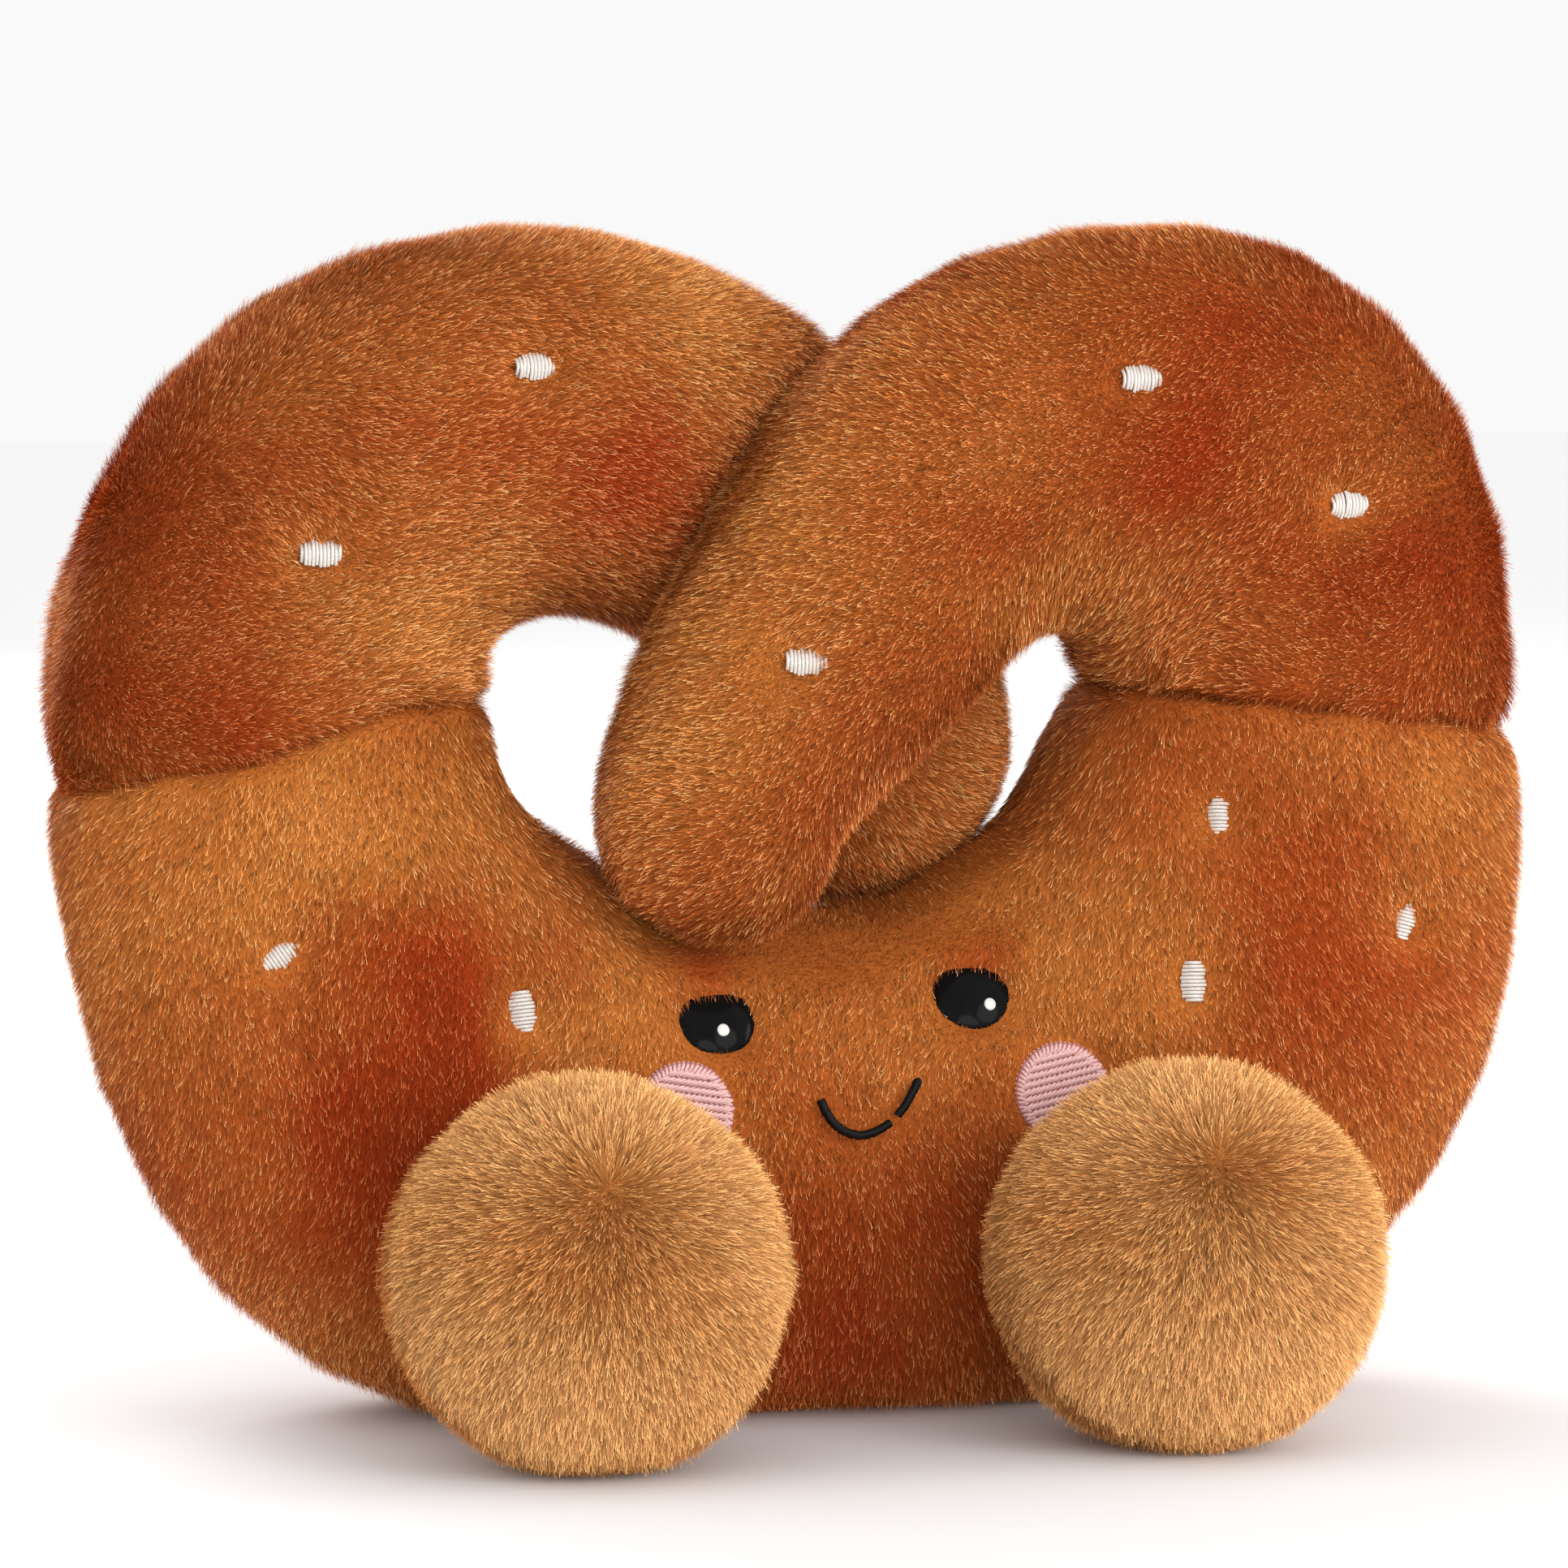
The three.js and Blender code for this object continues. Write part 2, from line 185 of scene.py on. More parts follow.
def freeze(obj):
    """Replaces an object's mesh by its evaluated one and removes its modifiers."""
    bpy.context.view_layer.update()
    graph = bpy.context.evaluated_depsgraph_get()
    mesh = bpy.data.meshes.new_from_object(
        obj.evaluated_get(graph), preserve_all_data_layers=True, depsgraph=graph)
    old = obj.data
    obj.modifiers.clear()
    obj.data = mesh
    mesh.name = obj.name
    if old.users == 0:
        bpy.data.meshes.remove(old)
    return obj


def points_of(mesh):
    """The vertices of a mesh as an array of rows."""
    flat = np.empty(len(mesh.vertices) * 3, dtype=np.float64)
    mesh.vertices.foreach_get("co", flat)
    return flat.reshape(-1, 3)


def set_points(mesh, points):
    """Moves the vertices of a mesh."""
    mesh.vertices.foreach_set("co", np.ascontiguousarray(points, dtype=np.float32).ravel())
    mesh.update()


def normals_of(mesh):
    """The vertex normals of a mesh as an array of rows."""
    flat = np.empty(len(mesh.vertices) * 3, dtype=np.float32)
    mesh.vertex_normals.foreach_get("vector", flat)
    return flat.reshape(-1, 3).astype(np.float64)


def unit(rows):
    """Rows scaled to a length of one."""
    return rows / np.maximum(np.linalg.norm(rows, axis=1, keepdims=True), 1e-12)


def store(mesh, name, values):
    """Stores a number or a vector for each vertex."""
    values = np.asarray(values, dtype=np.float32)
    kind, field = ("FLOAT", "value") if values.ndim == 1 else ("FLOAT_VECTOR", "vector")
    layer = mesh.attributes.new(name, kind, "POINT")
    layer.data.foreach_set(field, values.ravel())


def middle(node):
    """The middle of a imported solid's box."""
    low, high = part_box(node)
    return np.array((Vector(low) + Vector(high)) / 2)


def tree_of(obj):
    """A search tree over a mesh, for nearest points and rays."""
    mesh = obj.data
    return BVHTree.FromPolygons(
        [vertex.co[:] for vertex in mesh.vertices], [face.vertices[:] for face in mesh.polygons])


def inside_of(tree, points):
    """How far each point lies inside a closed surface, below zero outside."""
    depth = np.empty(len(points))
    for row, point in enumerate(points):
        place, normal, _, _ = tree.find_nearest(Vector(point))
        depth[row] = (place - Vector(point)).dot(normal)
    return depth


# ---- Stuffed cloth ------------------------------------------------------------------------------


def joined_solids(name, nodes):
    """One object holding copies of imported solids, with their loose triangles merged."""
    shape = bmesh.new()
    for node in nodes:
        shape.from_mesh(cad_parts[node].data)
    bmesh.ops.remove_doubles(shape, verts=shape.verts, dist=0.01 * MM)
    mesh = bpy.data.meshes.new(name)
    shape.to_mesh(mesh)
    shape.free()
    mesh.materials.clear()
    return new_object(name, mesh)


def remesh(obj, size):
    """Rebuilds an object's surface as even faces."""
    modifier = obj.modifiers.new("even_faces", "REMESH")
    modifier.mode = "VOXEL"
    modifier.voxel_size = size
    return freeze(obj)


def smooth(obj, times):
    """Evens out an object's facets."""
    modifier = obj.modifiers.new("smooth", "SMOOTH")
    modifier.factor = 0.5
    modifier.iterations = times
    return freeze(obj)


def blow_up(obj, pressure, most):
    """Presses the stuffing out against the cloth, and caps how far a point may move."""
    before = points_of(obj.data)
    modifier = obj.modifiers.new("stuffing", "CLOTH")
    cloth = modifier.settings
    cloth.use_pressure = True
    cloth.uniform_pressure_force = pressure
    cloth.effector_weights.gravity = 0
    cloth.quality = 5
    cloth.mass = 0.3
    cloth.tension_stiffness = cloth.compression_stiffness = 15
    cloth.shear_stiffness = 5
    cloth.bending_stiffness = 0.5
    modifier.point_cache.frame_start, modifier.point_cache.frame_end = 1, 20
    for step in range(1, 21):
        bpy.context.scene.frame_set(step)
    freeze(obj)
    bpy.context.scene.frame_set(1)
    move = points_of(obj.data) - before
    length = np.linalg.norm(move, axis=1, keepdims=True)
    set_points(obj.data, before + move * np.minimum(1, most / np.maximum(length, 1e-12)))


def sewn_ends(name, points, normals):
    """How much each point belongs to an end that is sewn to another roll, from 0 to 1."""
    sewn = np.zeros(len(points))
    for other in ROLLS:
        if other == name or "body" not in (name, other):
            continue
        neighbour = joined_solids("neighbour", ROLLS[other][:2])
        tree = tree_of(neighbour)
        bpy.data.objects.remove(neighbour)
        for row in np.flatnonzero(np.abs(points[:, 0]) > SEWN_OUTSIDE):
            place, facing, _, _ = tree.find_nearest(Vector(points[row]), SEAM_REACH)
            if place is not None and Vector(normals[row]).dot(facing) < FACES_BACK:
                sewn[row] = 1
    return sewn


def evened(mesh, values, times):
    """Values at the vertices, each brought towards the mean of its neighbours."""
    pairs = np.empty(len(mesh.edges) * 2, dtype=np.int32)
    mesh.edges.foreach_get("vertices", pairs)
    one, other = pairs.reshape(-1, 2).T
    count = np.bincount(pairs, minlength=len(values))
    for _ in range(times):
        total = np.bincount(one, values[other], len(values))
        total += np.bincount(other, values[one], len(values))
        values = 0.5 * values + 0.5 * total / np.maximum(count, 1)
    return values


def fill_out(obj, solids, depth):
    """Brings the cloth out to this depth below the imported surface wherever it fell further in."""
    points, normals = points_of(obj.data), normals_of(obj.data)
    short = evened(obj.data, inside_of(tree_of(solids), points) - depth, 8)
    set_points(obj.data, points + normals * np.maximum(short, 0)[:, None])


def backing_depth(name, settings):
    """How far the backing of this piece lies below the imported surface."""
    if name == "body":
        return settings.body_depth
    return settings.foot_depth if name in FEET else settings.loop_depth


def stuffed(name, nodes, settings):
    """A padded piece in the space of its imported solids, drawn in to the backing of the cloth."""
    solids = joined_solids(name + "_solids", nodes[:2] if name[:-6] in ROLLS else nodes[:1])
    obj = remesh(joined_solids(name, nodes), 1.0 * MM)
    smooth(obj, 12)
    remesh(obj, settings.voxel)
    smooth(obj, 2)
    points, normals = points_of(obj.data), normals_of(obj.data)
    sewn = sewn_ends(name.removesuffix("_cloth"), points, normals)[:, None]
    backing = backing_depth(name.removesuffix("_cloth"), settings)
    depth = backing + settings.most_swell / 2
    set_points(obj.data, points - normals * (depth * (1 - sewn) - SEAM_TUCK * sewn))
    blow_up(obj, settings.pressure, settings.most_swell)
    modifier = obj.modifiers.new("fine", "SUBSURF")
    modifier.levels = modifier.render_levels = 1
    freeze(obj)
    smooth(obj, 2)
    fill_out(obj, solids, backing)
    bpy.data.objects.remove(solids)
    obj.data.shade_smooth()
    points = points_of(obj.data)
    points[:, 2] = np.maximum(points[:, 2], 0.2 * MM)
    set_points(obj.data, points)
    return obj


# ---- Airbrush and comb --------------------------------------------------------------------------

# The main airbrushed areas of each roll: (across, up, half width, half height, amount), the first
# four as parts of the box of the roll's panels. A positive amount is rust, a negative one is tan.
# A few rust areas, marked, are also painted shade.
AIRBRUSH_AND_SHADE = {
    "left_loop": [
        (0.14, 0.35, 0.12, 0.15, 0.50),     # the outer side, low down
        (0.10, 0.65, 0.12, 0.15, 0.30),     # the outer side, half way up
        (0.36, 0.70, 0.14, 0.10, 0.35),     # the middle of the arch
        (0.57, 0.65, 0.07, 0.12, 0.50),     # where it runs behind the other loop: rust, and painted shade under the crossing
        (0.62, 0.90, 0.12, 0.10, -0.50),    # the tan top, by the crossing
        (0.35, 0.45, 0.12, 0.10, -0.40),    # the tan rim of the hole
    ],
    "right_loop": [
        (0.72, 0.85, 0.15, 0.10, 0.35),     # the top
        (0.58, 0.70, 0.12, 0.12, 0.40),     # under the first grain of salt
        (0.80, 0.48, 0.13, 0.16, 0.50),     # the outer side
        (0.37, 0.55, 0.09, 0.09, 0.25),     # the middle of the arm
        (0.22, 0.25, 0.08, 0.08, 0.20),     # the arm, low down
        (0.18, 0.60, 0.10, 0.15, -0.35),    # the tan edge of the arm
        (0.47, 0.48, 0.10, 0.07, -0.30),    # the tan rim of the hole
        (0.10, 0.35, 0.10, 0.15, -0.30),    # the tan side of the tip
    ],
    "body": [
        (0.24, 0.58, 0.07, 0.15, 0.65),     # the left side, above the foot
        (0.21, 0.38, 0.07, 0.15, 0.50),     # and beside the foot
        (0.12, 0.33, 0.10, 0.20, 0.25),     # the left side, low down
        (0.83, 0.58, 0.10, 0.13, 0.55),     # the right side, above the foot
        (0.82, 0.78, 0.10, 0.10, 0.30),     # the right side, high up
        (0.53, 0.13, 0.14, 0.15, 0.55),     # between the feet
        (0.53, 0.30, 0.10, 0.10, 0.20),     # the chin
        (0.47, 0.36, 0.05, 0.12, 0.25),     # beside the left foot
        (0.59, 0.36, 0.05, 0.12, 0.25),     # beside the right foot
        (0.42, 0.62, 0.03, 0.03, 0.40),     # the left brow: rust, and painted shade in the recess over the eye
        (0.60, 0.64, 0.03, 0.03, 0.50),     # the right brow: rust, and painted shade in the recess over the eye
        (0.07, 0.72, 0.12, 0.15, -0.25),    # the tan outer left side
        (0.21, 0.84, 0.15, 0.10, -0.40),    # the tan rim of the left hole
        (0.33, 0.63, 0.05, 0.12, -0.35),    # between the rust and the left eye
        (0.62, 0.75, 0.10, 0.10, -0.30),    # the tan rim of the right hole
        (0.69, 0.63, 0.06, 0.10, -0.35),    # between the right eye and the rust
        (0.94, 0.84, 0.08, 0.12, -0.30),    # the tan outer right side
    ],
    "left_foot": [
        (0.40, 0.58, 0.30, 0.16, 0.45),     # round the whorl of the pile
        (0.46, 0.74, 0.14, 0.10, 0.25),     # its middle
        (0.36, 0.18, 0.45, 0.22, -0.25),    # the pale underside
    ],
    "right_foot": [
        (0.53, 0.77, 0.20, 0.13, 0.45),     # the whorl of the pile
        (0.12, 0.65, 0.16, 0.20, 0.35),     # the inner side
        (0.50, 0.22, 0.45, 0.22, -0.25),    # the pale underside
    ],
}
# The tint of each roll between its airbrushed areas.
GROUND_TINT = {
    "left_loop": 0.40, "right_loop": 0.45, "body": 0.35, "left_foot": -0.20, "right_foot": -0.25}
SPRAY_WARP = 0.02         # how far the areas' edges stray, as a part of the box
TINT_LOW, TINT_HIGH = -0.4, 1.35
# The pile is a little paler round each grain of salt.
SALT_HALO, SALT_HALO_RADIUS = 0.3, 4.5 * MM
# Which way the pile of each loop is combed along X.
COMB_WAY = {"left_loop": 1.0, "right_loop": -1.0}
# The way out from the middle of each foot to the whorl of its pile.
WHORLS = {"left_foot": (-0.07, -0.91, 0.42), "right_foot": (-0.08, -0.87, 0.48)}
EYES = ("left_eye", "right_eye")
CHEEKS = ("left_cheek_stitching", "right_cheek_stitching")
SALTS = (
    "left_loop_salt_1", "left_loop_salt_2", "right_loop_salt_1", "right_loop_salt_2",
    "right_loop_salt_3", "body_salt_1", "body_salt_2", "body_salt_3", "body_salt_4", "body_salt_5")
# These grains are sunk in the pile, which hides half of them.
SUNK_SALTS = ("body_salt_1", "body_salt_2", "body_salt_5")
HALF_HIDDEN = 0.5


def noise_of(points, size, seed):
    """Smooth noise from -1 to 1 at each point, with blobs of this size."""
    rng = np.random.default_rng(seed)
    total = np.zeros(len(points))
    for _ in range(14):
        wave = rng.normal(size=3)
        wave *= 2 * math.pi / size / np.linalg.norm(wave) * rng.uniform(0.5, 1.2)
        total += np.sin(points @ wave + rng.uniform(0, 2 * math.pi))
    return np.clip(total / 3.2, -1, 1)


def sprayed(name, nodes, points):
    """The sum of the airbrushed areas of one piece at each point, a few also painted shade, with uneven
    edges.
    """
    corners = np.array([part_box(node) for node in nodes[:2]])
    low, high = corners[:, 0].min(axis=0), corners[:, 1].max(axis=0)
    part = (points - low) / (high - low)
    warp = np.stack([noise_of(points, 0.016, 5), noise_of(points, 0.016, 6)], axis=1) * SPRAY_WARP
    total = np.zeros(len(points))
    for across, up, width, height, amount in AIRBRUSH_AND_SHADE[name]:
        reach = ((part[:, 0] + warp[:, 0] - across) / width) ** 2
        reach += ((part[:, 2] + warp[:, 1] - up) / height) ** 2
        total += amount * np.exp(-reach)
    return total


def tint_of(name, nodes, points):
    """How rusty the pile is at each point: 0 is tan, 1 is rust, and it goes a little past both."""
    tint = GROUND_TINT[name] + sprayed(name, nodes, points)
    for node in SALTS:
        tint -= SALT_HALO * round_trench(points, node, SALT_HALO_RADIUS)
    tint += 0.08 * noise_of(points, 0.030, 7) + 0.07 * noise_of(points, 0.009, 8)
    return np.clip(tint, TINT_LOW, TINT_HIGH)


def comb_of(name, points, normals):
    """The way that the pile lies at each point, along the surface."""
    if name in WHORLS:
        centre = (points.min(axis=0) + points.max(axis=0)) / 2
        pole = np.array(WHORLS[name])
        away = points - centre - pole * 0.05
        away = away - (away @ pole)[:, None] * pole
        comb = away / 0.006 + np.array([0, 0, -0.35])
    else:
        middle_x = (points[:, 0].min() + points[:, 0].max()) / 2
        outward = np.clip((points[:, 0] - middle_x) / 0.020, -1, 1)
        comb = np.zeros_like(points)
        if name == "body":
            comb[:, 0], comb[:, 2] = 0.12 * outward, -1
        else:
            comb[:, 0], comb[:, 2] = COMB_WAY[name], -0.25
        swirl = np.stack([noise_of(points, 0.022, seed) for seed in (21, 22, 23)], axis=1)
        comb += (0.25 if name == "body" else 0.45) * swirl
    comb -= np.sum(comb * normals, axis=1, keepdims=True) * normals
    return unit(comb)


def round_trench(points, node, radius):
    """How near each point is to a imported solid's middle, from 1 there to 0 at the radius."""
    away = np.linalg.norm(points - middle(node), axis=1) / radius
    return np.exp(-(away * 1.6) ** 2) * (away < 2.2)


def press_in(obj, node, depth, radius):
    """Pulls the cloth in round a stitched or sewn-on part, as its thread does."""
    points = points_of(obj.data)
    near = round_trench(points, node, radius)
    if near.max() < 0.2:
        return
    inward = normals_of(obj.data)[int(near.argmax())]
    set_points(obj.data, points - inward * (near * depth)[:, None])


def bulge(obj, centre, half_wide, half_tall, reach, move):
    """Lets the stuffing push the cloth out round one place."""
    points = points_of(obj.data)
    away = points - np.array(centre)
    near = np.exp(-(away[:, 0] / half_wide) ** 2 - (away[:, 2] / half_tall) ** 2)
    near *= np.abs(away[:, 1]) < reach
    set_points(obj.data, points + near[:, None] * np.array(move))


# Over and under each eye: how far up from its middle, and the way that the cloth moves there.
LID_HALF_WIDE, LID_HALF_TALL, LID_REACH = 4.0 * MM, 1.6 * MM, 10 * MM
LIDS = ((4.0 * MM, (0, -2.4 * MM, -0.6 * MM)), (-3.7 * MM, (0, -0.8 * MM, 0.4 * MM)))
# Where the stuffing fills out the rims of the rolls: the place, and the way the cloth moves.
RIM_HALF_WIDE, RIM_HALF_TALL, RIM_REACH = 6 * MM, 5 * MM, 30 * MM
RIMS = (((14 * MM, -10 * MM, 47 * MM), (0, 0, 1.8 * MM)),
        ((-20 * MM, -12 * MM, 45 * MM), (0, 0, 1.6 * MM)),
        ((-37 * MM, -12 * MM, 58.5 * MM), (0, 0, 1.8 * MM)))
# How deep the thread or the post pulls the cloth in, and how far round.
SALT_PRESS, EYE_PRESS, SMILE_PRESS = (1.5 * MM, 4.4 * MM), (1.2 * MM, 5.5 * MM), (0.4 * MM, 5.0 * MM)


# ---- Geometry nodes -----------------------------------------------------------------------------


class Recipe:
    """A geometry node tree, with its inputs and a short way to add nodes."""

    def __init__(self, name):
        self.tree = bpy.data.node_groups.new(name, "GeometryNodeTree")
        self.tree.is_modifier = True
        self.keys = {}
        self.tree.interface.new_socket("Geometry", in_out="OUTPUT", socket_type="NodeSocketGeometry")
        self.socket("Geometry", "NodeSocketGeometry")
        self.start = None

    def socket(self, name, kind, default=None):
        """Adds a named input to the tree."""
        item = self.tree.interface.new_socket(name, in_out="INPUT", socket_type=kind)
        if default is not None:
            item.default_value = default
        self.keys[name] = item.identifier

    def value(self, name):
        """The socket that gives an input's value."""
        if self.start is None:
            self.start = self.tree.nodes.new("NodeGroupInput")
        return self.start.outputs[name]

    def add(self, kind, inputs=None, out=0, **settings):
        """Adds a node with these settings and inputs, and returns one of its outputs."""
        node = self.tree.nodes.new(kind)
        for key, setting in settings.items():
            setattr(node, key, setting)
        for key, value in (inputs or {}).items():
            if isinstance(value, bpy.types.NodeSocket):
                self.tree.links.new(value, node.inputs[key])
            else:
                node.inputs[key].default_value = value
        return node.outputs[out]

    def maths(self, operation, a, b=0.0, c=0.0):
        """A sum on numbers."""
        return self.add("ShaderNodeMath", {0: a, 1: b, 2: c}, operation=operation)

    def vector(self, operation, a, b=None, out=0):
        """A sum on vectors."""
        inputs = {0: a} if b is None else {0: a, 1: b}
        return self.add("ShaderNodeVectorMath", inputs, out=out, operation=operation)

    def scaled(self, a, by):
        """A vector times a number."""
        return self.add("ShaderNodeVectorMath", {0: a, "Scale": by}, operation="SCALE")

    def read(self, name, kind="FLOAT"):
        """The values of a named attribute."""
        return self.add("GeometryNodeInputNamedAttribute", {"Name": name}, data_type=kind)

    def keep(self, geometry, name, value, kind="FLOAT", domain="POINT"):
        """Stores values as a named attribute."""
        return self.add(
            "GeometryNodeStoreNamedAttribute",
            {"Geometry": geometry, "Name": name, "Value": value}, data_type=kind, domain=domain)

    def random(self, low, high, seed):
        """A random number for each point."""
        return self.add(
            "FunctionNodeRandomValue", {2: low, 3: high, "Seed": seed}, out=1, data_type="FLOAT")

    def random_vector(self, spread, seed):
        """A random vector for each point."""
        return self.add(
            "FunctionNodeRandomValue",
            {0: (-spread,) * 3, 1: (spread,) * 3, "Seed": seed}, data_type="FLOAT_VECTOR")

    def finish(self, geometry):
        """Ends the tree in Realize Instances and Set Material."""
        real = self.add("GeometryNodeRealizeInstances", {"Geometry": geometry})
        done = self.add(
            "GeometryNodeSetMaterial", {"Geometry": real, "Material": self.value("Material")})
        end = self.tree.nodes.new("NodeGroupOutput")
        self.tree.links.new(done, end.inputs[0])

    def apply(self, obj, values):
        """Runs the tree on an object with these input values, and keeps the mesh it makes."""
        modifier = obj.modifiers.new(self.tree.name, "NODES")
        modifier.node_group = self.tree
        for name, value in values.items():
            modifier[self.keys[name]] = value
        return freeze(obj)


# Hairs whose own shade is above this get a painted glint on their tips.
PAINTED_GLINT_FROM = 0.84


def pile_recipe():
    """Hairs on a cloth: flat tapering blades that lean the way the cloth is combed."""
    r = Recipe("pile")
    for name, default in (
            ("Hairs per Square Metre", 5e6), ("Hair Length", 0.003), ("Hair Width", 0.0001),
            ("Lift", 0.6), ("Stray", 0.3), ("Lock Size", 0.002), ("Lock Pull", 0.3)):
        r.socket(name, "NodeSocketFloat", default)
    r.socket("Seed", "NodeSocketInt", 1)
    r.socket("Material", "NodeSocketMaterial")
    scatter = r.add(
        "GeometryNodeDistributePointsOnFaces",
        {"Mesh": r.value("Geometry"), "Seed": r.value("Seed"),
         "Density": r.maths("MULTIPLY", r.read("cover"), r.value("Hairs per Square Metre"))},
        distribute_method="RANDOM")
    up = r.vector("NORMALIZE", r.read("up", "FLOAT_VECTOR"))
    stray = r.scaled(r.random_vector(1.0, 3), r.value("Stray"))
    comb = r.vector("ADD", r.read("comb", "FLOAT_VECTOR"), stray)
    flat = r.vector("SUBTRACT", comb, r.scaled(up, r.vector("DOT_PRODUCT", comb, up, out=1)))
    lay = r.vector("NORMALIZE", flat)
    place = r.add("GeometryNodeInputPosition")
    lock = r.add(
        "ShaderNodeTexVoronoi",
        {"Vector": place, "Scale": r.maths("DIVIDE", 1.0, r.value("Lock Size"))}, out=2,
        voronoi_dimensions="3D", feature="F1")
    gather = r.vector("SUBTRACT", lock, place)
    gather = r.vector("SUBTRACT", gather, r.scaled(up, r.vector("DOT_PRODUCT", gather, up, out=1)))
    roll = r.random(-1.0, 1.0, 5)
    side = r.vector("CROSS_PRODUCT", lay, up)
    side = r.vector("NORMALIZE", r.vector("ADD", side, r.scaled(up, roll)))
    length = r.maths(
        "MULTIPLY", r.maths("MULTIPLY", r.read("pile"), r.value("Hair Length")),
        r.random(0.65, 1.15, 6))
    points = scatter
    for name, value, kind in (
            ("root", place, "FLOAT_VECTOR"), ("rise", up, "FLOAT_VECTOR"),
            ("lay", lay, "FLOAT_VECTOR"), ("side", side, "FLOAT_VECTOR"),
            ("gather", gather, "FLOAT_VECTOR"), ("reach", length, "FLOAT"),
            ("shade", r.random(0.0, 1.0, 7), "FLOAT"),
            ("steep", r.random(0.7, 1.3, 8), "FLOAT"),
            ("place", r.add("GeometryNodeInputIndex"), "FLOAT")):
        points = r.keep(points, name, value, kind)

    blade = r.add(
        "GeometryNodeMeshGrid", {"Size X": 1.0, "Size Y": 1.0, "Vertices X": 2, "Vertices Y": 2})
    split = r.tree.nodes.new("ShaderNodeSeparateXYZ")
    r.tree.links.new(r.add("GeometryNodeInputPosition"), split.inputs[0])
    along = r.maths("ADD", split.outputs[1], 0.5)
    across = r.maths("MULTIPLY", split.outputs[0], 2.0)
    blade = r.keep(blade, "along", along)
    blade = r.keep(blade, "across", across)
    narrow = r.maths("SUBTRACT", 1.0, r.maths("POWER", r.read("along"), 3.0))
    shape = r.tree.nodes.new("ShaderNodeCombineXYZ")
    r.tree.links.new(r.maths("MULTIPLY", r.read("across"), narrow), shape.inputs[0])
    r.tree.links.new(r.read("along"), shape.inputs[1])
    blade = r.add("GeometryNodeSetPosition", {"Geometry": blade, "Position": shape.outputs[0]})
    blade = r.add("GeometryNodeMergeByDistance", {"Geometry": blade, "Distance": 0.01})
    hairs = r.add("GeometryNodeInstanceOnPoints", {"Points": points, "Instance": blade})
    hairs = r.add("GeometryNodeRealizeInstances", {"Geometry": hairs})
    # The hairs with a painted glint are turned end for end, so that they are widest at the tip.
    glinting = r.maths("GREATER_THAN", r.read("shade"), PAINTED_GLINT_FROM)
    turned = r.maths("SUBTRACT", r.read("along"), r.maths("MULTIPLY", glinting, r.maths(
        "SUBTRACT", r.maths("MULTIPLY", r.read("along"), 2.0), 1.0)))
    hairs = r.keep(hairs, "along", turned)
    facing = r.maths("SUBTRACT", 1.0, r.maths("MULTIPLY", glinting, 2.0))
    hairs = r.keep(hairs, "across", r.maths("MULTIPLY", r.read("across"), facing))

    s = r.read("along")
    square = r.maths("MULTIPLY", s, s)
    rise = r.maths("SUBTRACT", s, r.maths("MULTIPLY", square, 0.28))
    rise = r.maths("MULTIPLY", rise, r.maths("MULTIPLY", r.value("Lift"), r.read("steep")))
    rise = r.maths("MULTIPLY", rise, r.read("lift"))
    lean = r.maths("ADD", r.maths("MULTIPLY", s, 0.55), r.maths("MULTIPLY", square, 0.35))
    lean = r.maths("MULTIPLY", lean, r.read("lean"))
    spine = r.vector(
        "ADD", r.scaled(r.read("rise", "FLOAT_VECTOR"), rise),
        r.scaled(r.read("lay", "FLOAT_VECTOR"), lean))
    spine = r.scaled(spine, r.read("reach"))
    pull = r.maths("MULTIPLY", square, r.value("Lock Pull"))
    spine = r.vector("ADD", spine, r.scaled(r.read("gather", "FLOAT_VECTOR"), pull))
    half = r.maths("MULTIPLY", r.read("across"), r.maths("MULTIPLY", r.value("Hair Width"), 0.5))
    half = r.maths("MULTIPLY", half, r.maths("SUBTRACT", 1.0, r.maths("MULTIPLY", s, 0.3)))
    spot = r.vector("ADD", r.read("root", "FLOAT_VECTOR"), spine)
    spot = r.vector("ADD", spot, r.scaled(r.read("side", "FLOAT_VECTOR"), half))
    hairs = r.add("GeometryNodeSetPosition", {"Geometry": hairs, "Position": spot})

    # Each hair gets a small cell of its own on the UV map OFBake.
    columns = 440.0
    cell = r.read("place")
    column = r.maths("MODULO", cell, columns)
    row = r.maths("FLOOR", r.maths("DIVIDE", cell, columns))
    cell_u = r.maths("ADD", column, r.maths("ADD", r.maths("MULTIPLY", r.read("across"), 0.3), 0.5))
    cell_v = r.maths("ADD", row, r.maths("ADD", r.maths("MULTIPLY", s, 0.7), 0.15))
    spread = r.tree.nodes.new("ShaderNodeCombineXYZ")
    r.tree.links.new(r.maths("DIVIDE", cell_u, columns), spread.inputs[0])
    r.tree.links.new(r.maths("DIVIDE", cell_v, columns), spread.inputs[1])
    hairs = r.keep(hairs, "OFBake", spread.outputs[0], "FLOAT2", "CORNER")
    for name in ("root", "rise", "lay", "side", "gather", "reach", "steep", "place", "across",
                 "comb", "up", "cover", "pile", "lean", "lift"):
        hairs = r.add("GeometryNodeRemoveAttribute", {"Geometry": hairs, "Name": name})
    r.finish(hairs)
    return r


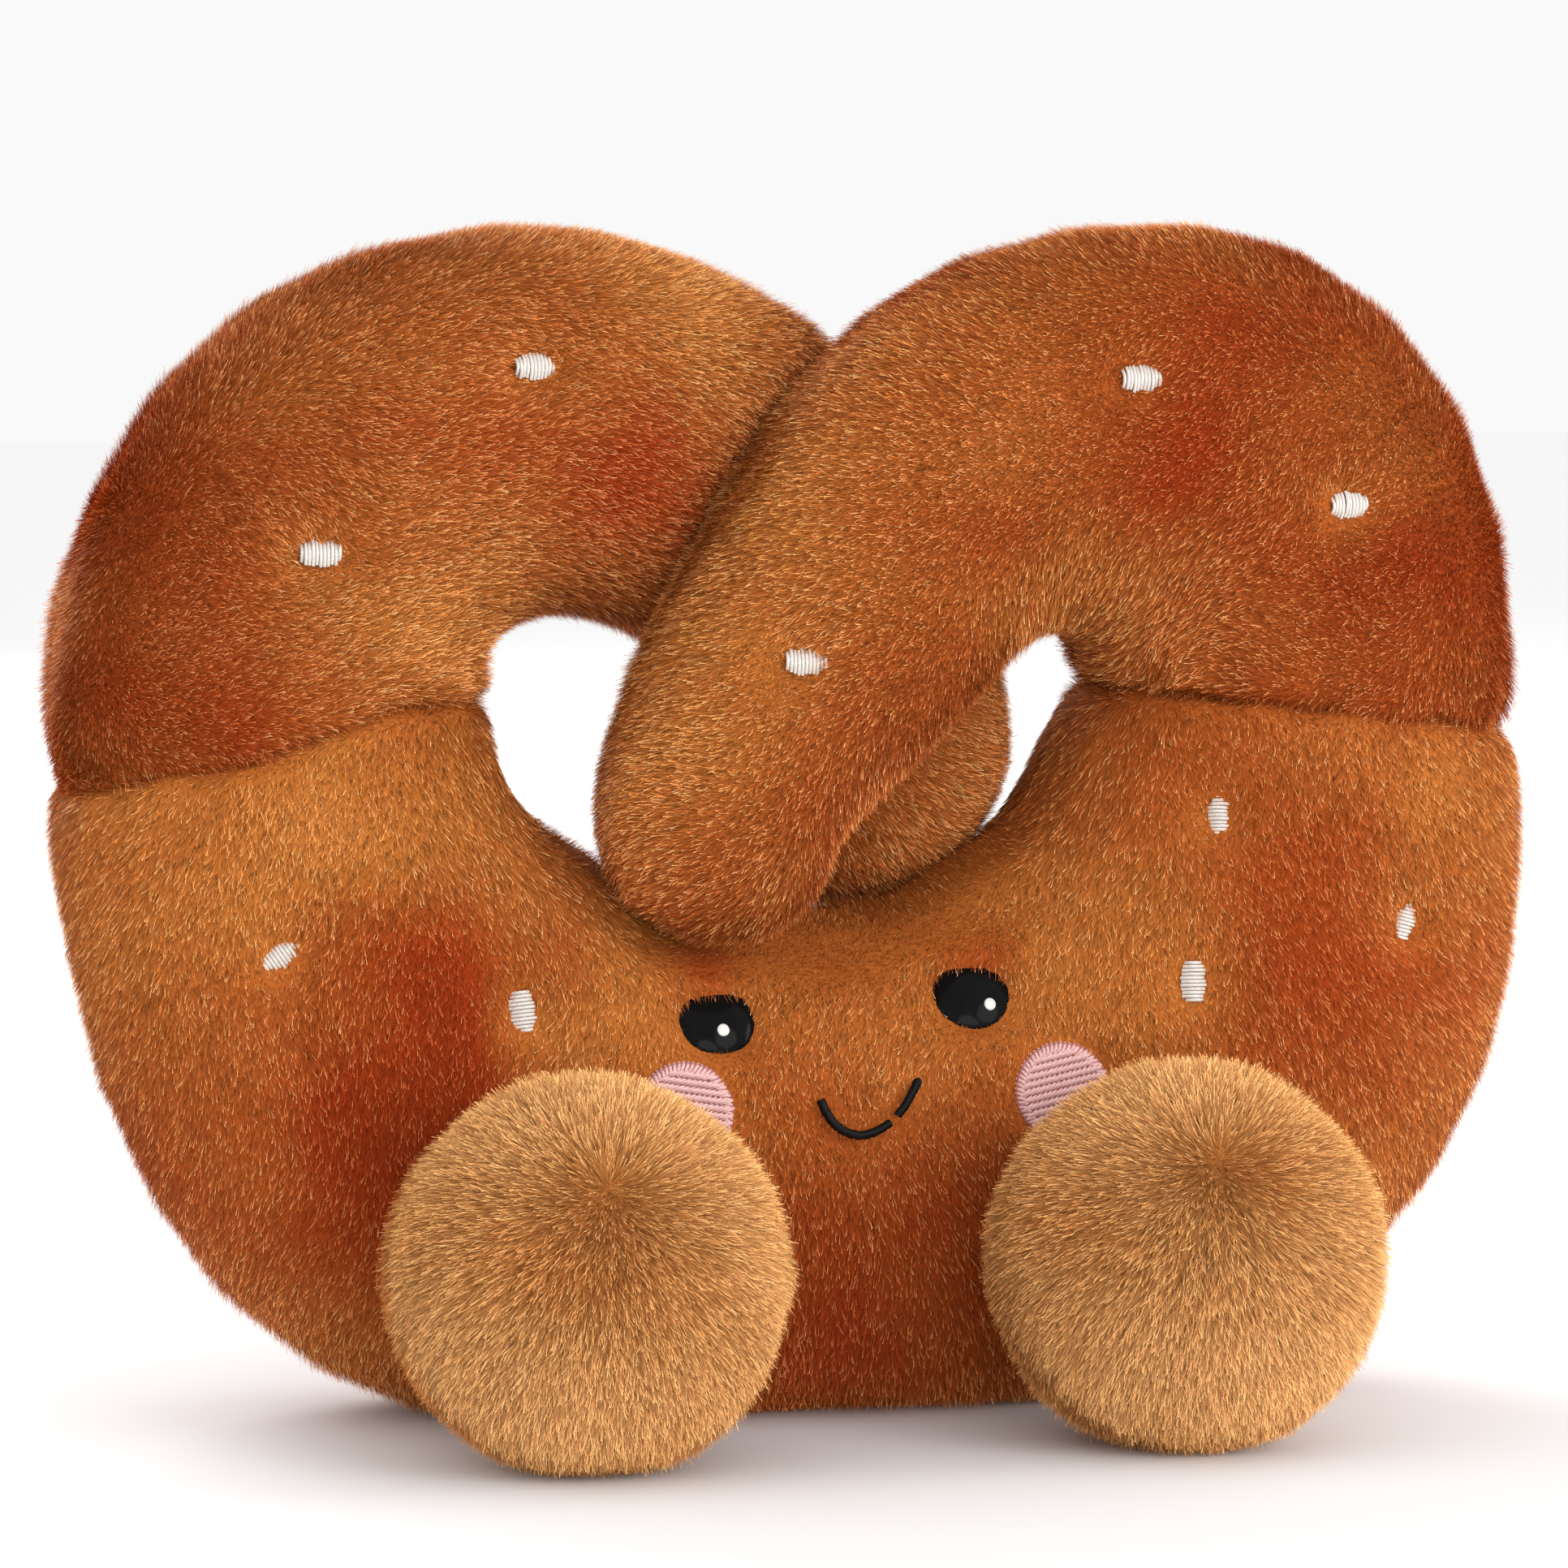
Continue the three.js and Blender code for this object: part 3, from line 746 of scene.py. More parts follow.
def stitch_recipe():
    """Threads: each loose edge becomes one rounded, arched stitch."""
    r = Recipe("stitches")
    for name, default in (("Thread Radius", 0.0002), ("Arch", 0.0002)):
        r.socket(name, "NodeSocketFloat", default)
    r.socket("Material", "NodeSocketMaterial")
    curve = r.add("GeometryNodeMeshToCurve", {"Mesh": r.value("Geometry")})
    curve = r.add("GeometryNodeResampleCurve", {"Curve": curve, "Count": 6})
    t = r.add("GeometryNodeSplineParameter")
    bow = r.maths("MULTIPLY", r.maths("MULTIPLY", t, r.maths("SUBTRACT", 1.0, t)), 4.0)
    lift = r.scaled(r.read("up", "FLOAT_VECTOR"), r.maths("MULTIPLY", bow, r.value("Arch")))
    curve = r.add("GeometryNodeSetPosition", {"Geometry": curve, "Offset": lift})
    plump = r.maths("ADD", r.maths("MULTIPLY", r.maths("POWER", bow, 0.5), 0.5), 0.5)
    curve = r.add("GeometryNodeSetCurveRadius", {"Curve": curve, "Radius": plump})
    ring = r.add(
        "GeometryNodeCurvePrimitiveCircle",
        {"Resolution": 6, "Radius": r.value("Thread Radius")}, mode="RADIUS")
    curve = r.keep(curve, "along", t)
    threads = r.add(
        "GeometryNodeCurveToMesh",
        {"Curve": curve, "Profile Curve": ring, "Fill Caps": True})
    threads = r.add("GeometryNodeSetShadeSmooth", {"Geometry": threads})
    threads = r.add("GeometryNodeRemoveAttribute", {"Geometry": threads, "Name": "up"})
    r.finish(threads)
    return r


# ---- Materials ----------------------------------------------------------------------------------


class Finish:
    """A material's nodes, with a short way to add more."""

    def __init__(self, name, **shader):
        self.material = bpy.data.materials.new(name)
        self.material.use_nodes = True
        self.nodes = self.material.node_tree.nodes
        self.links = self.material.node_tree.links
        self.shader = self.nodes["Principled BSDF"]
        for key, value in shader.items():
            self.shader.inputs[key.replace("_", " ")].default_value = value

    def add(self, kind, inputs=None, out=0, **settings):
        """Adds a node with these settings and inputs, and returns one of its outputs."""
        node = self.nodes.new(kind)
        for key, setting in settings.items():
            setattr(node, key, setting)
        for key, value in (inputs or {}).items():
            if isinstance(value, bpy.types.NodeSocket):
                self.links.new(value, node.inputs[key])
            else:
                node.inputs[key].default_value = value
        return node.outputs[out]

    def maths(self, operation, a, b=0.0):
        """A sum on numbers."""
        return self.add("ShaderNodeMath", {0: a, 1: b}, operation=operation)

    def read(self, name):
        """A named attribute's number."""
        return self.add("ShaderNodeAttribute", out=2, attribute_name=name)

    def place(self):
        """Where a point is on its piece."""
        return self.add("ShaderNodeTexCoord", out=3)

    def noise(self, size, detail=2.0):
        """Noise from 0 to 1 with blobs of this size."""
        return self.add(
            "ShaderNodeTexNoise", {"Vector": self.place(), "Scale": 1 / size, "Detail": detail})

    def ramp(self, factor, stops):
        """Colours along a factor from 0 to 1."""
        socket = self.add("ShaderNodeValToRGB", {"Fac": factor})
        ramp = socket.node.color_ramp
        for position, colour in stops[1:-1]:
            ramp.elements.new(position).color = (*colour, 1)
        ramp.elements[0].color = (*stops[0][1], 1)
        ramp.elements[-1].color = (*stops[-1][1], 1)
        return socket

    def times(self, colour, factor):
        """A colour times a number."""
        return self.add(
            "ShaderNodeVectorMath", {0: colour, "Scale": factor}, operation="SCALE")

    def multiplied(self, colour, other_colour):
        """A colour times a colour, here the painted shade of the pile and its cloth."""
        return self.add("ShaderNodeVectorMath", {0: colour, 1: other_colour}, operation="MULTIPLY")

    def to(self, name, value):
        """Links a value to one of the shader's inputs."""
        self.links.new(value, self.shader.inputs[name])

    def bump(self, height, strength, distance):
        """Raises the surface by a height."""
        self.to("Normal", self.add(
            "ShaderNodeBump", {"Height": height, "Strength": strength, "Distance": distance}))


def plush_colour(finish, tan, rust):
    """The airbrushed colour of the plush at a point, from pale through tan and rust to dark."""
    pale = tuple(a * b for a, b in zip(tan, (1.22, 1.4, 1.7)))
    middle_tone = tuple(0.5 * a + 0.5 * b for a, b in zip(tan, rust))
    dark = tuple(0.78 * value for value in rust)
    tint = finish.maths(
        "DIVIDE", finish.maths("ADD", finish.read("tint"), -TINT_LOW), TINT_HIGH - TINT_LOW)
    return finish.ramp(
        tint, ((0, pale), (0.23, tan), (0.49, middle_tone), (0.77, rust), (1, dark)))


# Painted highlights: the glint colour painted on the tips, the share of a hair's own shade that makes one,
# and how steeply they light up.
GLINT_COLOUR = (0.96, 0.60, 0.24)
GLINT_GAIN = 8.0
# Painted shade: light that has passed between the hairs is warmer than their own colour, and the shaded
# roots of the hairs and the cloth under them take this warmth.
DEEP_SHADE_WARMTH = (1.0, 0.85, 0.65)


def pile_material(name, tan, rust, root, darkest):
    """Hairs: painted shade at the root and painted light at the tip, each a little different."""
    finish = Finish(name, Roughness=0.5, Specular_IOR_Level=0.06)
    colour = plush_colour(finish, tan, rust)
    # Painted shade and light along each hair: darkened towards the root by the root value and the deep shade
    # warmth, lightened towards the tip.
    light = finish.ramp(finish.read("along"), (
        (0, tuple(root * deep for deep in DEEP_SHADE_WARMTH)), (0.5, (0.80, 0.76, 0.68)),
        (1, (1.35,) * 3)))
    own = finish.ramp(finish.read("shade"), (
        (0, (darkest * 0.75,) * 3), (0.40, (0.86,) * 3), (PAINTED_GLINT_FROM, (1.25,) * 3), (1, (1.6,) * 3)))
    # Rusty pile is flatter in tone than tan pile.
    contrast = finish.maths("SUBTRACT", 1.2, finish.maths("MULTIPLY", finish.read("tint"), 0.7))
    contrast = finish.maths("MINIMUM", finish.maths("MAXIMUM", contrast, 0.35), 1.0)
    own = finish.add("ShaderNodeMix", {0: contrast, 6: (1, 1, 1, 1), 7: own}, out=2,
                     data_type="RGBA")
    coloured = finish.times(finish.multiplied(colour, light), own)
    # Painted highlight: the tips of those hairs are mixed towards the glint colour, less on rusty pile.
    glint = finish.maths("MULTIPLY", finish.maths("SUBTRACT", finish.read("shade"), PAINTED_GLINT_FROM), GLINT_GAIN)
    glint = finish.maths("MULTIPLY", finish.maths("MAXIMUM", glint, 0.0), finish.read("along"))
    glint = finish.maths("MINIMUM", finish.maths("MULTIPLY", glint, contrast), 1.0)
    finish.to("Base Color", finish.add(
        "ShaderNodeMix", {0: glint, 6: coloured, 7: (*GLINT_COLOUR, 1)}, out=2,
        data_type="RGBA"))
    return finish.material


def cloth_material(name, tan, rust):
    """The cloth under the hairs, darkened and warmed as painted shade under the pile, with the fine
    unevenness of their roots.
    """
    finish = Finish(name, Roughness=0.9, Specular_IOR_Level=0.1)
    colour = plush_colour(finish, tan, rust)
    roots = finish.noise(0.35 * MM, 2.0)
    # Painted shade: the cloth under the pile is darkened to 0.4 to 0.85 of its colour and warmed by the deep
    # shade warmth.
    finish.to("Base Color", finish.multiplied(colour, finish.ramp(roots, tuple(
        (at, tuple(much * deep for deep in DEEP_SHADE_WARMTH)) for at, much in ((0, 0.4), (1, 0.85))))))
    finish.bump(roots, 0.6, 0.25 * MM)
    return finish.material


def thread_material(name, light, dark, gloss=0.5):
    """Embroidery thread, with a soft gloss and fine fibres."""
    finish = Finish(name, Roughness=0.4, Specular_IOR_Level=gloss)
    fibres = finish.noise(0.16 * MM, 3.0)
    finish.to("Base Color", finish.ramp(fibres, ((0, dark), (0.55, light), (1, light))))
    finish.bump(fibres, 0.35, 0.05 * MM)
    return finish.material


def bead_material():
    """Moulded black plastic with a faint unevenness in its gloss."""
    finish = Finish("eye_bead_black", Specular_IOR_Level=0.05)
    smudge = finish.noise(1.4 * MM, 3.0)
    finish.to("Base Color", finish.ramp(smudge, ((0, (0.003,) * 3), (1, (0.008,) * 3))))
    finish.to("Roughness", finish.maths("ADD", finish.maths("MULTIPLY", smudge, 0.08), 0.08))
    return finish.material


def plain_material(name, light, dark, grain, roughness, depth):
    """A mottled finish for the parts inside and for small painted marks."""
    finish = Finish(name, Roughness=roughness)
    mottle = finish.noise(grain, 3.0)
    finish.to("Base Color", finish.ramp(mottle, ((0, dark), (1, light))))
    finish.bump(mottle, 0.4, depth)
    return finish.material


# ---- Pieces -------------------------------------------------------------------------------------

CLOTHS = {}


def settings_of(context):
    """The toy's settings."""
    return context.scene.plush_pretzel


def distance_to(tree, points, most):
    """How far each point is from a surface, up to a limit."""
    far = np.full(len(points), most)
    for row, point in enumerate(points):
        found = tree.find_nearest(Vector(point), most)
        if found[0] is not None:
            far[row] = found[3]
    return far


def smooth_step(values, low, high):
    """Values brought smoothly from 0, at the low end, to 1, at the high end."""
    t = np.clip((values - low) / (high - low), 0, 1)
    return t * t * (3 - 2 * t)


def make_cloth(name, nodes, settings, material):
    """Builds one stuffed piece and pulls it in where parts are sewn on."""
    obj = stuffed(name + "_cloth", nodes, settings)
    if name not in FEET:
        for node in SALTS:
            press_in(obj, node, *SALT_PRESS)
    if name == "body":
        for node in EYES:
            press_in(obj, node, *EYE_PRESS)
            for up, move in LIDS:
                bulge(obj, middle(node) + np.array([0, 0, up]), LID_HALF_WIDE, LID_HALF_TALL,
                      LID_REACH, move)
        for place, move in RIMS:
            bulge(obj, place, RIM_HALF_WIDE, RIM_HALF_TALL, RIM_REACH, move)
        press_in(obj, "smile_stitching", *SMILE_PRESS)
    mesh = obj.data
    mesh.materials.append(material)
    store(mesh, "tint", tint_of(name, nodes, points_of(mesh)))
    replaced = [node for node in nodes[:2] if "pellets" not in node]
    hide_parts(*replaced)
    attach(obj, "root")
    CLOTHS[name] = obj
    return obj


def lay_out_pile(name, settings):
    """Works out where hairs grow on a cloth, which way they lie and how long they are."""
    obj = CLOTHS[name]
    mesh = obj.data
    points, normals = points_of(mesh), normals_of(mesh)
    cover, pile = np.ones(len(points)), np.ones(len(points))
    seam = np.zeros(len(points))
    for other, cloth in CLOTHS.items():
        if other != name:
            depth = inside_of(tree_of(cloth), points)
            cover *= 1 - smooth_step(depth, 0.1 * MM, 1.0 * MM)
            if name in ROLLS and other in ROLLS:
                seam = np.maximum(seam, smooth_step(depth, -2.0 * MM, -0.2 * MM))
    outer = points + normals * backing_depth(name, settings.cloth)
    sewn = [] if name in FEET else list(SALTS)
    if name == "body":
        sewn += [*EYES, *CHEEKS, "smile_stitching"]
    for node in sewn:
        away = distance_to(tree_of(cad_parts[node]), outer, 4 * MM)
        if away.min() > 3 * MM:
            continue
        bare = HALF_HIDDEN if node in SUNK_SALTS else 0.2 * (node == "smile_stitching")
        cover *= bare + (1 - bare) * smooth_step(away, 0, 0.5 * MM)
        least = 0.45
        if node in EYES:
            least += 0.5 * smooth_step(points[:, 2] - middle(node)[2], 0.5 * MM, 2.5 * MM)
        pile *= least + (1 - least) * smooth_step(away, 0.2 * MM, 2.6 * MM)
    pile *= 1 + 0.12 * noise_of(points, 0.008, 31)
    lean, lift = np.ones(len(points)), np.ones(len(points))
    if name in WHORLS:
        centre = (points.min(axis=0) + points.max(axis=0)) / 2
        pole = np.array(WHORLS[name])
        out_of_pole = np.linalg.norm(points - centre - pole * np.ptp(points[:, 0]) / 2, axis=1)
        lean = 0.5 + 0.5 * smooth_step(out_of_pole, 1 * MM, 5 * MM)
    if name == "body":
        upward = normals[:, 2]
        top = smooth_step(upward, 0.6, 0.85)
        shoulder = smooth_step(upward, 0.1, 0.35) * (1 - top)
        lean = 1 + 0.2 * shoulder - 0.5 * top
        lift = 1 - 0.65 * shoulder
    lean *= 1 - 0.35 * seam
    pile *= 1 + 0.35 * seam
    store(mesh, "lean", lean)
    store(mesh, "lift", lift)
    store(mesh, "comb", comb_of(name, points, normals))
    store(mesh, "up", normals)
    store(mesh, "cover", cover)
    store(mesh, "pile", pile)


def make_pile(name, side, recipe, settings, material, hairs, length):
    """Grows the hairs of one cloth, or of its front or back."""
    cloth = CLOTHS[name]
    obj = new_object(f"{name}{side}_pile", cloth.data.copy())
    mesh = obj.data
    cover = np.empty(len(mesh.vertices), dtype=np.float32)
    mesh.attributes["cover"].data.foreach_get("value", cover)
    if side:
        depth = points_of(mesh)[:, 1]
        seam = middle(name + "_stuffing")[1]
        cover *= (depth < seam) if side == "_front" else (depth >= seam)
        mesh.attributes["cover"].data.foreach_set("value", cover)
    area = sum(face.area * cover[list(face.vertices)].mean() for face in mesh.polygons)
    recipe.apply(obj, {
        "Hairs per Square Metre": hairs / float(area), "Hair Length": length,
        "Hair Width": settings.pile.hair_width, "Lift": settings.pile.lift,
        "Stray": settings.pile.stray, "Lock Size": settings.pile.lock_size,
        "Lock Pull": settings.pile.lock_pull, "Seed": settings.pile.seed,
        "Material": material})
    points = points_of(obj.data)
    points[:, 2] = np.maximum(points[:, 2], 0.05 * MM)
    set_points(obj.data, points)
    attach(obj, "root")
    return obj


def axes_of(node):
    """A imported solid's middle and its three main directions, the longest first."""
    points = np.unique(points_of(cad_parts[node].data).round(7), axis=0)
    centre = middle(node)
    _, _, rows = np.linalg.svd(points - points.mean(axis=0), full_matrices=False)
    return centre, rows


def outward(direction, centre):
    """A direction turned so that it faces away from the nearest cloth."""
    best, facing = math.inf, None
    for cloth in CLOTHS.values():
        _, normal, _, away = tree_of(cloth).find_nearest(Vector(centre))
        if away < best:
            best, facing = away, np.array(normal)
    return direction if direction @ facing > 0 else -direction


def stitched(name, edges, ups, recipe, radius, arch, material, nodes):
    """Sews one thread along each edge and makes one piece of them."""
    mesh = bpy.data.meshes.new(name)
    mesh.from_pydata([tuple(point) for edge in edges for point in edge],
                     [(2 * i, 2 * i + 1) for i in range(len(edges))], [])
    store(mesh, "up", [up for pair in ups for up in pair])
    obj = new_object(name, mesh)
    recipe.apply(obj, {"Thread Radius": radius, "Arch": arch, "Material": material})
    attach(obj, "root")
    if nodes:
        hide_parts(*nodes)
    return obj


def on_cloth(point):
    """The nearest place on any stuffed cloth."""
    places = [tree_of(cloth).find_nearest(Vector(point))[::3] for cloth in CLOTHS.values()]
    return np.array(min(places, key=lambda found: found[1])[0])


# How far the middle of a grain's stitches stands off the cloth.
SALT_PROUD, SUNK_PROUD = 0.3 * MM, -0.15 * MM
SALT_HALF_LONG, SALT_HALF_WIDE, SALT_THREADS = 1.6 * MM, 1.05 * MM, 11
# The loops' grains ride a little to the right and up on the swollen cloth.
LOOP_SALT_SHIFT = (0.3 * MM, 0, 0.22 * MM)


def salt_stitches(node):
    """Satin stitches side by side across a grain of salt."""
    centre, (length_way, width_way, up) = axes_of(node)
    up = outward(up, centre)
    if "loop" in node:
        centre = centre + np.array(LOOP_SALT_SHIFT)
    centre = on_cloth(centre) + up * (SUNK_PROUD if node in SUNK_SALTS else SALT_PROUD)
    rng = np.random.default_rng(len(node) + ord(node[-1]))
    edges, ups = [], []
    for step in range(SALT_THREADS):
        off = step / (SALT_THREADS - 1) * 2 - 1
        half = SALT_HALF_WIDE * (1 - 0.35 * off ** 4) * rng.uniform(0.9, 1.06)
        slip = rng.uniform(-0.12, 0.12) * MM
        base = centre + length_way * off * SALT_HALF_LONG + up * rng.uniform(-0.08, 0.08) * MM
        edges.append((base - width_way * (half + slip), base + width_way * (half - slip)))
        ups.append((up, up))
    return edges, ups


def cheek_stitches(node, slant):
    """Rows of fill stitches across a cheek, and a satin ring round it."""
    tree = tree_of(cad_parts[node])
    centre, (_, _, up) = axes_of(node)
    up = outward(up, centre)
    wide = np.cross(np.array([0, 0, 1.0]), up)
    wide /= np.linalg.norm(wide)
    wide = wide if wide[0] > 0 else -wide
    tall = np.cross(up, wide)
    tall = tall if tall[2] > 0 else -tall
    low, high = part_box(node)
    radius = (high[2] - low[2]) / 2 * 1.02
    ring = 0.9 * MM

    def on_cheek(u, v, lift):
        start = Vector(centre + wide * u + tall * v + up * 6 * MM)
        place, _, _, _ = tree.ray_cast(start, Vector(-up))
        if place is None:
            place, _, _, _ = tree.find_nearest(start - Vector(up) * 6 * MM)
        return np.array(place) + up * lift

    rng = np.random.default_rng(41)
    edges, ups = [], []
    turn = math.radians(slant)
    pitch, step, half_long, half_tall = 0.62 * MM, 0.46 * MM, 0.46 * MM, 0.20 * MM
    inner = radius - ring * 0.8
    rows = int(inner / pitch)
    for row in range(-rows, rows + 1):
        v = row * pitch
        reach = math.sqrt(inner ** 2 - v ** 2)
        for u in np.arange(-reach, reach, step) + step * rng.uniform(0.3, 0.7):
            pair = []
            for side in (-1, 1):
                along, rise = u + side * half_long, v + side * half_tall
                pair.append(on_cheek(
                    along * math.cos(turn) - rise * math.sin(turn),
                    along * math.sin(turn) + rise * math.cos(turn),
                    rng.uniform(-0.08, 0.04) * MM))
            edges.append(tuple(pair))
            ups.append((up, up))
    count = int(2 * math.pi * radius / (0.42 * MM))
    for step in range(count):
        angle = 2 * math.pi * step / count
        pair = []
        for away in (radius - ring * rng.uniform(0.95, 1.1), radius * rng.uniform(0.99, 1.02)):
            skew = 0.10 if away < radius - ring / 2 else 0
            pair.append(on_cheek(
                away * math.cos(angle + skew), away * math.sin(angle + skew), 0.02 * MM))
        edges.append(tuple(pair))
        ups.append((up, up))
    return edges, ups


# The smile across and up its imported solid's box, and the part of its length left open.
SMILE_LINE = ((0.0, 0.68), (0.11, 0.20), (0.38, -0.06), (0.71, 0.24), (0.97, 0.98))
SMILE_GAP = (0.655, 0.685)
SMILE_LIFT = 1.05 * MM
SMILE_STITCH, SMILE_STRIDE = 1.3 * MM, 0.75 * MM


def smile_stitches(node):
    """Short overlapping stitches along the smile, with a gap where the thread goes in."""
    low, high = (np.array(corner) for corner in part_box(node))
    line = [low + (high - low) * np.array((across, 0.5, up)) for across, up in SMILE_LINE]
    tree = tree_of(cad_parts[node])
    body = tree_of(CLOTHS["body"])
    curve = []
    for step in range(41):
        t = step / 40 * (len(line) - 1)
        at = min(int(t), len(line) - 2)
        a, b = line[max(at - 1, 0)], line[at]
        c, d = line[at + 1], line[min(at + 2, len(line) - 1)]
        f = t - at
        point = 0.5 * (2 * b + (c - a) * f + (2 * a - 5 * b + 4 * c - d) * f ** 2
                       + (3 * b - a - 3 * c + d) * f ** 3)
        place, _, _, _ = tree.find_nearest(Vector(point))
        curve.append(np.array(place) * 0.35 + point * 0.65)
    curve = np.array(curve)
    edges, ups = [], []
    lengths = np.r_[0, np.cumsum(np.linalg.norm(np.diff(curve, axis=0), axis=1))]
    total = lengths[-1]

    def spot(distance):
        point = np.array([np.interp(distance, lengths, curve[:, axis]) for axis in range(3)])
        place, normal, _, _ = body.find_nearest(Vector(point))
        normal = np.array(normal)
        return np.array(place) + normal * SMILE_LIFT, normal

    step = 0.0
    while step < total - 0.2 * MM:
        ends = (step, min(step + SMILE_STITCH, total))
        if not (ends[0] < total * SMILE_GAP[0] < ends[1] or ends[0] < total * SMILE_GAP[1] < ends[1]):
            (a, up_a), (b, up_b) = spot(ends[0]), spot(ends[1])
            edges.append((a, b))
            ups.append((up_a, up_b))
        step += SMILE_STRIDE
    return edges, ups


def lathe(profile, segments):
    """A closed shape of revolution round Z, from (radius, height) points that start and end on it."""
    shape = bmesh.new()
    rings = []
    for radius, height in profile:
        if radius < 1e-9:
            rings.append([shape.verts.new((0, 0, height))])
        else:
            rings.append([shape.verts.new((
                radius * math.cos(2 * math.pi * k / segments),
                radius * math.sin(2 * math.pi * k / segments), height)) for k in range(segments)])
    for a, b in zip(rings, rings[1:]):
        for k in range(segments):
            n = (k + 1) % segments
            corners = [a[k % len(a)], a[n % len(a)], b[n % len(b)], b[k % len(b)]]
            unique = list(dict.fromkeys(corners))
            shape.faces.new(unique)
    bmesh.ops.recalc_face_normals(shape, faces=shape.faces)
    return shape


BEAD_SUNK, BEAD_WIDER = 1.3 * MM, 1.25
EYE_DOTS = {"left_eye": (0.2, -1.05), "right_eye": (1.1, -0.95)}


def make_eye(node, bead, paint):
    """A domed bead eye with a painted dot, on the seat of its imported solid."""
    centre, rows = axes_of(node)
    points = points_of(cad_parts[node].data)
    spread = [np.ptp(points @ row) for row in rows]
    odd = max(range(3), key=lambda i: min(abs(spread[i] - spread[j]) for j in range(3) if j != i))
    axis = outward(rows[odd], centre)
    top = (points @ axis).max()
    head = points[points @ axis > top - 2.3 * MM]
    middle_of_head = (head.min(axis=0) + head.max(axis=0)) / 2
    radius = max(np.linalg.norm(
        (head - middle_of_head) - ((head - middle_of_head) @ axis)[:, None] * axis, axis=1))
    front = middle_of_head + axis * (top - middle_of_head @ axis - BEAD_SUNK)
    radius *= BEAD_WIDER
    height = 2.1 * MM
    profile = [(0, 0)]
    for step in range(1, 15):
        angle = step / 14 * math.pi / 2
        profile.append((radius * math.sin(angle), -height * 0.86 * (1 - math.cos(angle))))
    profile += [(radius * 0.985, -height * 0.93), (radius * 0.93, -height), (radius * 0.4, -height),
                (1.1 * MM, -height), (1.1 * MM, -height - 5 * MM), (0, -height - 5 * MM)]
    shape = lathe(profile, 64)
    for face in shape.faces:
        face.smooth = True
    sideways, up = EYE_DOTS[node]
    dot = lathe([(0, 0.09 * MM), (0.30 * MM, 0.08 * MM), (0.47 * MM, 0.05 * MM),
                 (0.55 * MM, 0), (0.5 * MM, -0.12 * MM), (0, -0.12 * MM)], 24)
    turn = np.cross(np.array([0, 0, 1.0]), axis)
    turn /= np.linalg.norm(turn)
    tall = np.cross(axis, turn)
    # The frame's X runs across the face, its Y up it and its Z out of it.
    turned = Matrix((turn, tall, axis)).transposed().to_4x4()
    away = math.hypot(sideways, up) * MM
    angle = math.asin(min(0.9, away / radius))
    drop = -height * 0.86 * (1 - math.cos(angle))
    tilt = Vector((sideways * MM / radius, up * MM / radius, 1.35)).to_track_quat("Z", "Y")
    for vert in dot.verts:
        vert.co = tilt @ vert.co + Vector((sideways * MM, up * MM, drop))
    mesh = bpy.data.meshes.new(node + "_bead")
    dot_mesh = bpy.data.meshes.new("dot")
    for face in dot.faces:
        face.material_index, face.smooth = 1, True
    dot.to_mesh(dot_mesh)
    shape.from_mesh(dot_mesh)
    bmesh.ops.transform(shape, matrix=Matrix.Translation(front) @ turned, verts=shape.verts)
    shape.to_mesh(mesh)
    bpy.data.meshes.remove(dot_mesh)
    mesh.materials.append(bead)
    mesh.materials.append(paint)
    obj = new_object(node + "_bead", mesh)
    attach(obj, "root")
    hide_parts(node)
    return obj


def soft_light(name, place, target, size, watts):
    """A round studio light that faces a point."""
    light = bpy.data.lights.new(name, "AREA")
    light.shape, light.size, light.energy = "DISK", size, watts
    obj = link(bpy.data.objects.new(name, light))
    obj.location = place
    obj.rotation_euler = (Vector(target) - Vector(place)).to_track_quat("-Z", "Y").to_euler()


# ---- Operators ----------------------------------------------------------------------------------

PALETTE = {}


class PLUSH_OT_rolls(bpy.types.Operator):
    """Stuff the cloth of the body and the two loops."""
    bl_idname = "plush_pretzel.rolls"
    bl_label = "Stuffed Rolls"

    def execute(self, context):
        """Builds the pieces."""
        settings = settings_of(context)
        colours = tuple(settings.pile.tan), tuple(settings.pile.rust)
        PALETTE["brown_cloth"] = cloth_material("brown_plush_cloth", *colours)
        # 0.6 is the painted shade at the hair roots.
        PALETTE["brown_pile"] = pile_material("brown_plush_pile", *colours, 0.6, 0.3)
        for name, nodes in ROLLS.items():
            make_cloth(name, nodes, settings.cloth, PALETTE["brown_cloth"])
        return {"FINISHED"}


class PLUSH_OT_feet(bpy.types.Operator):
    """Stuff the cloth of the two feet."""
    bl_idname = "plush_pretzel.feet"
    bl_label = "Stuffed Feet"

    def execute(self, context):
        """Builds the pieces."""
        settings = settings_of(context)
        colours = tuple(settings.pile.foot_tan), tuple(settings.pile.foot_rust)
        PALETTE["tan_cloth"] = cloth_material("tan_plush_cloth", *colours)
        # 0.75 is the painted shade at the hair roots.
        PALETTE["tan_pile"] = pile_material("tan_plush_pile", *colours, 0.75, 0.45)
        for name, nodes in FEET.items():
            make_cloth(name, nodes, settings.cloth, PALETTE["tan_cloth"])
        return {"FINISHED"}


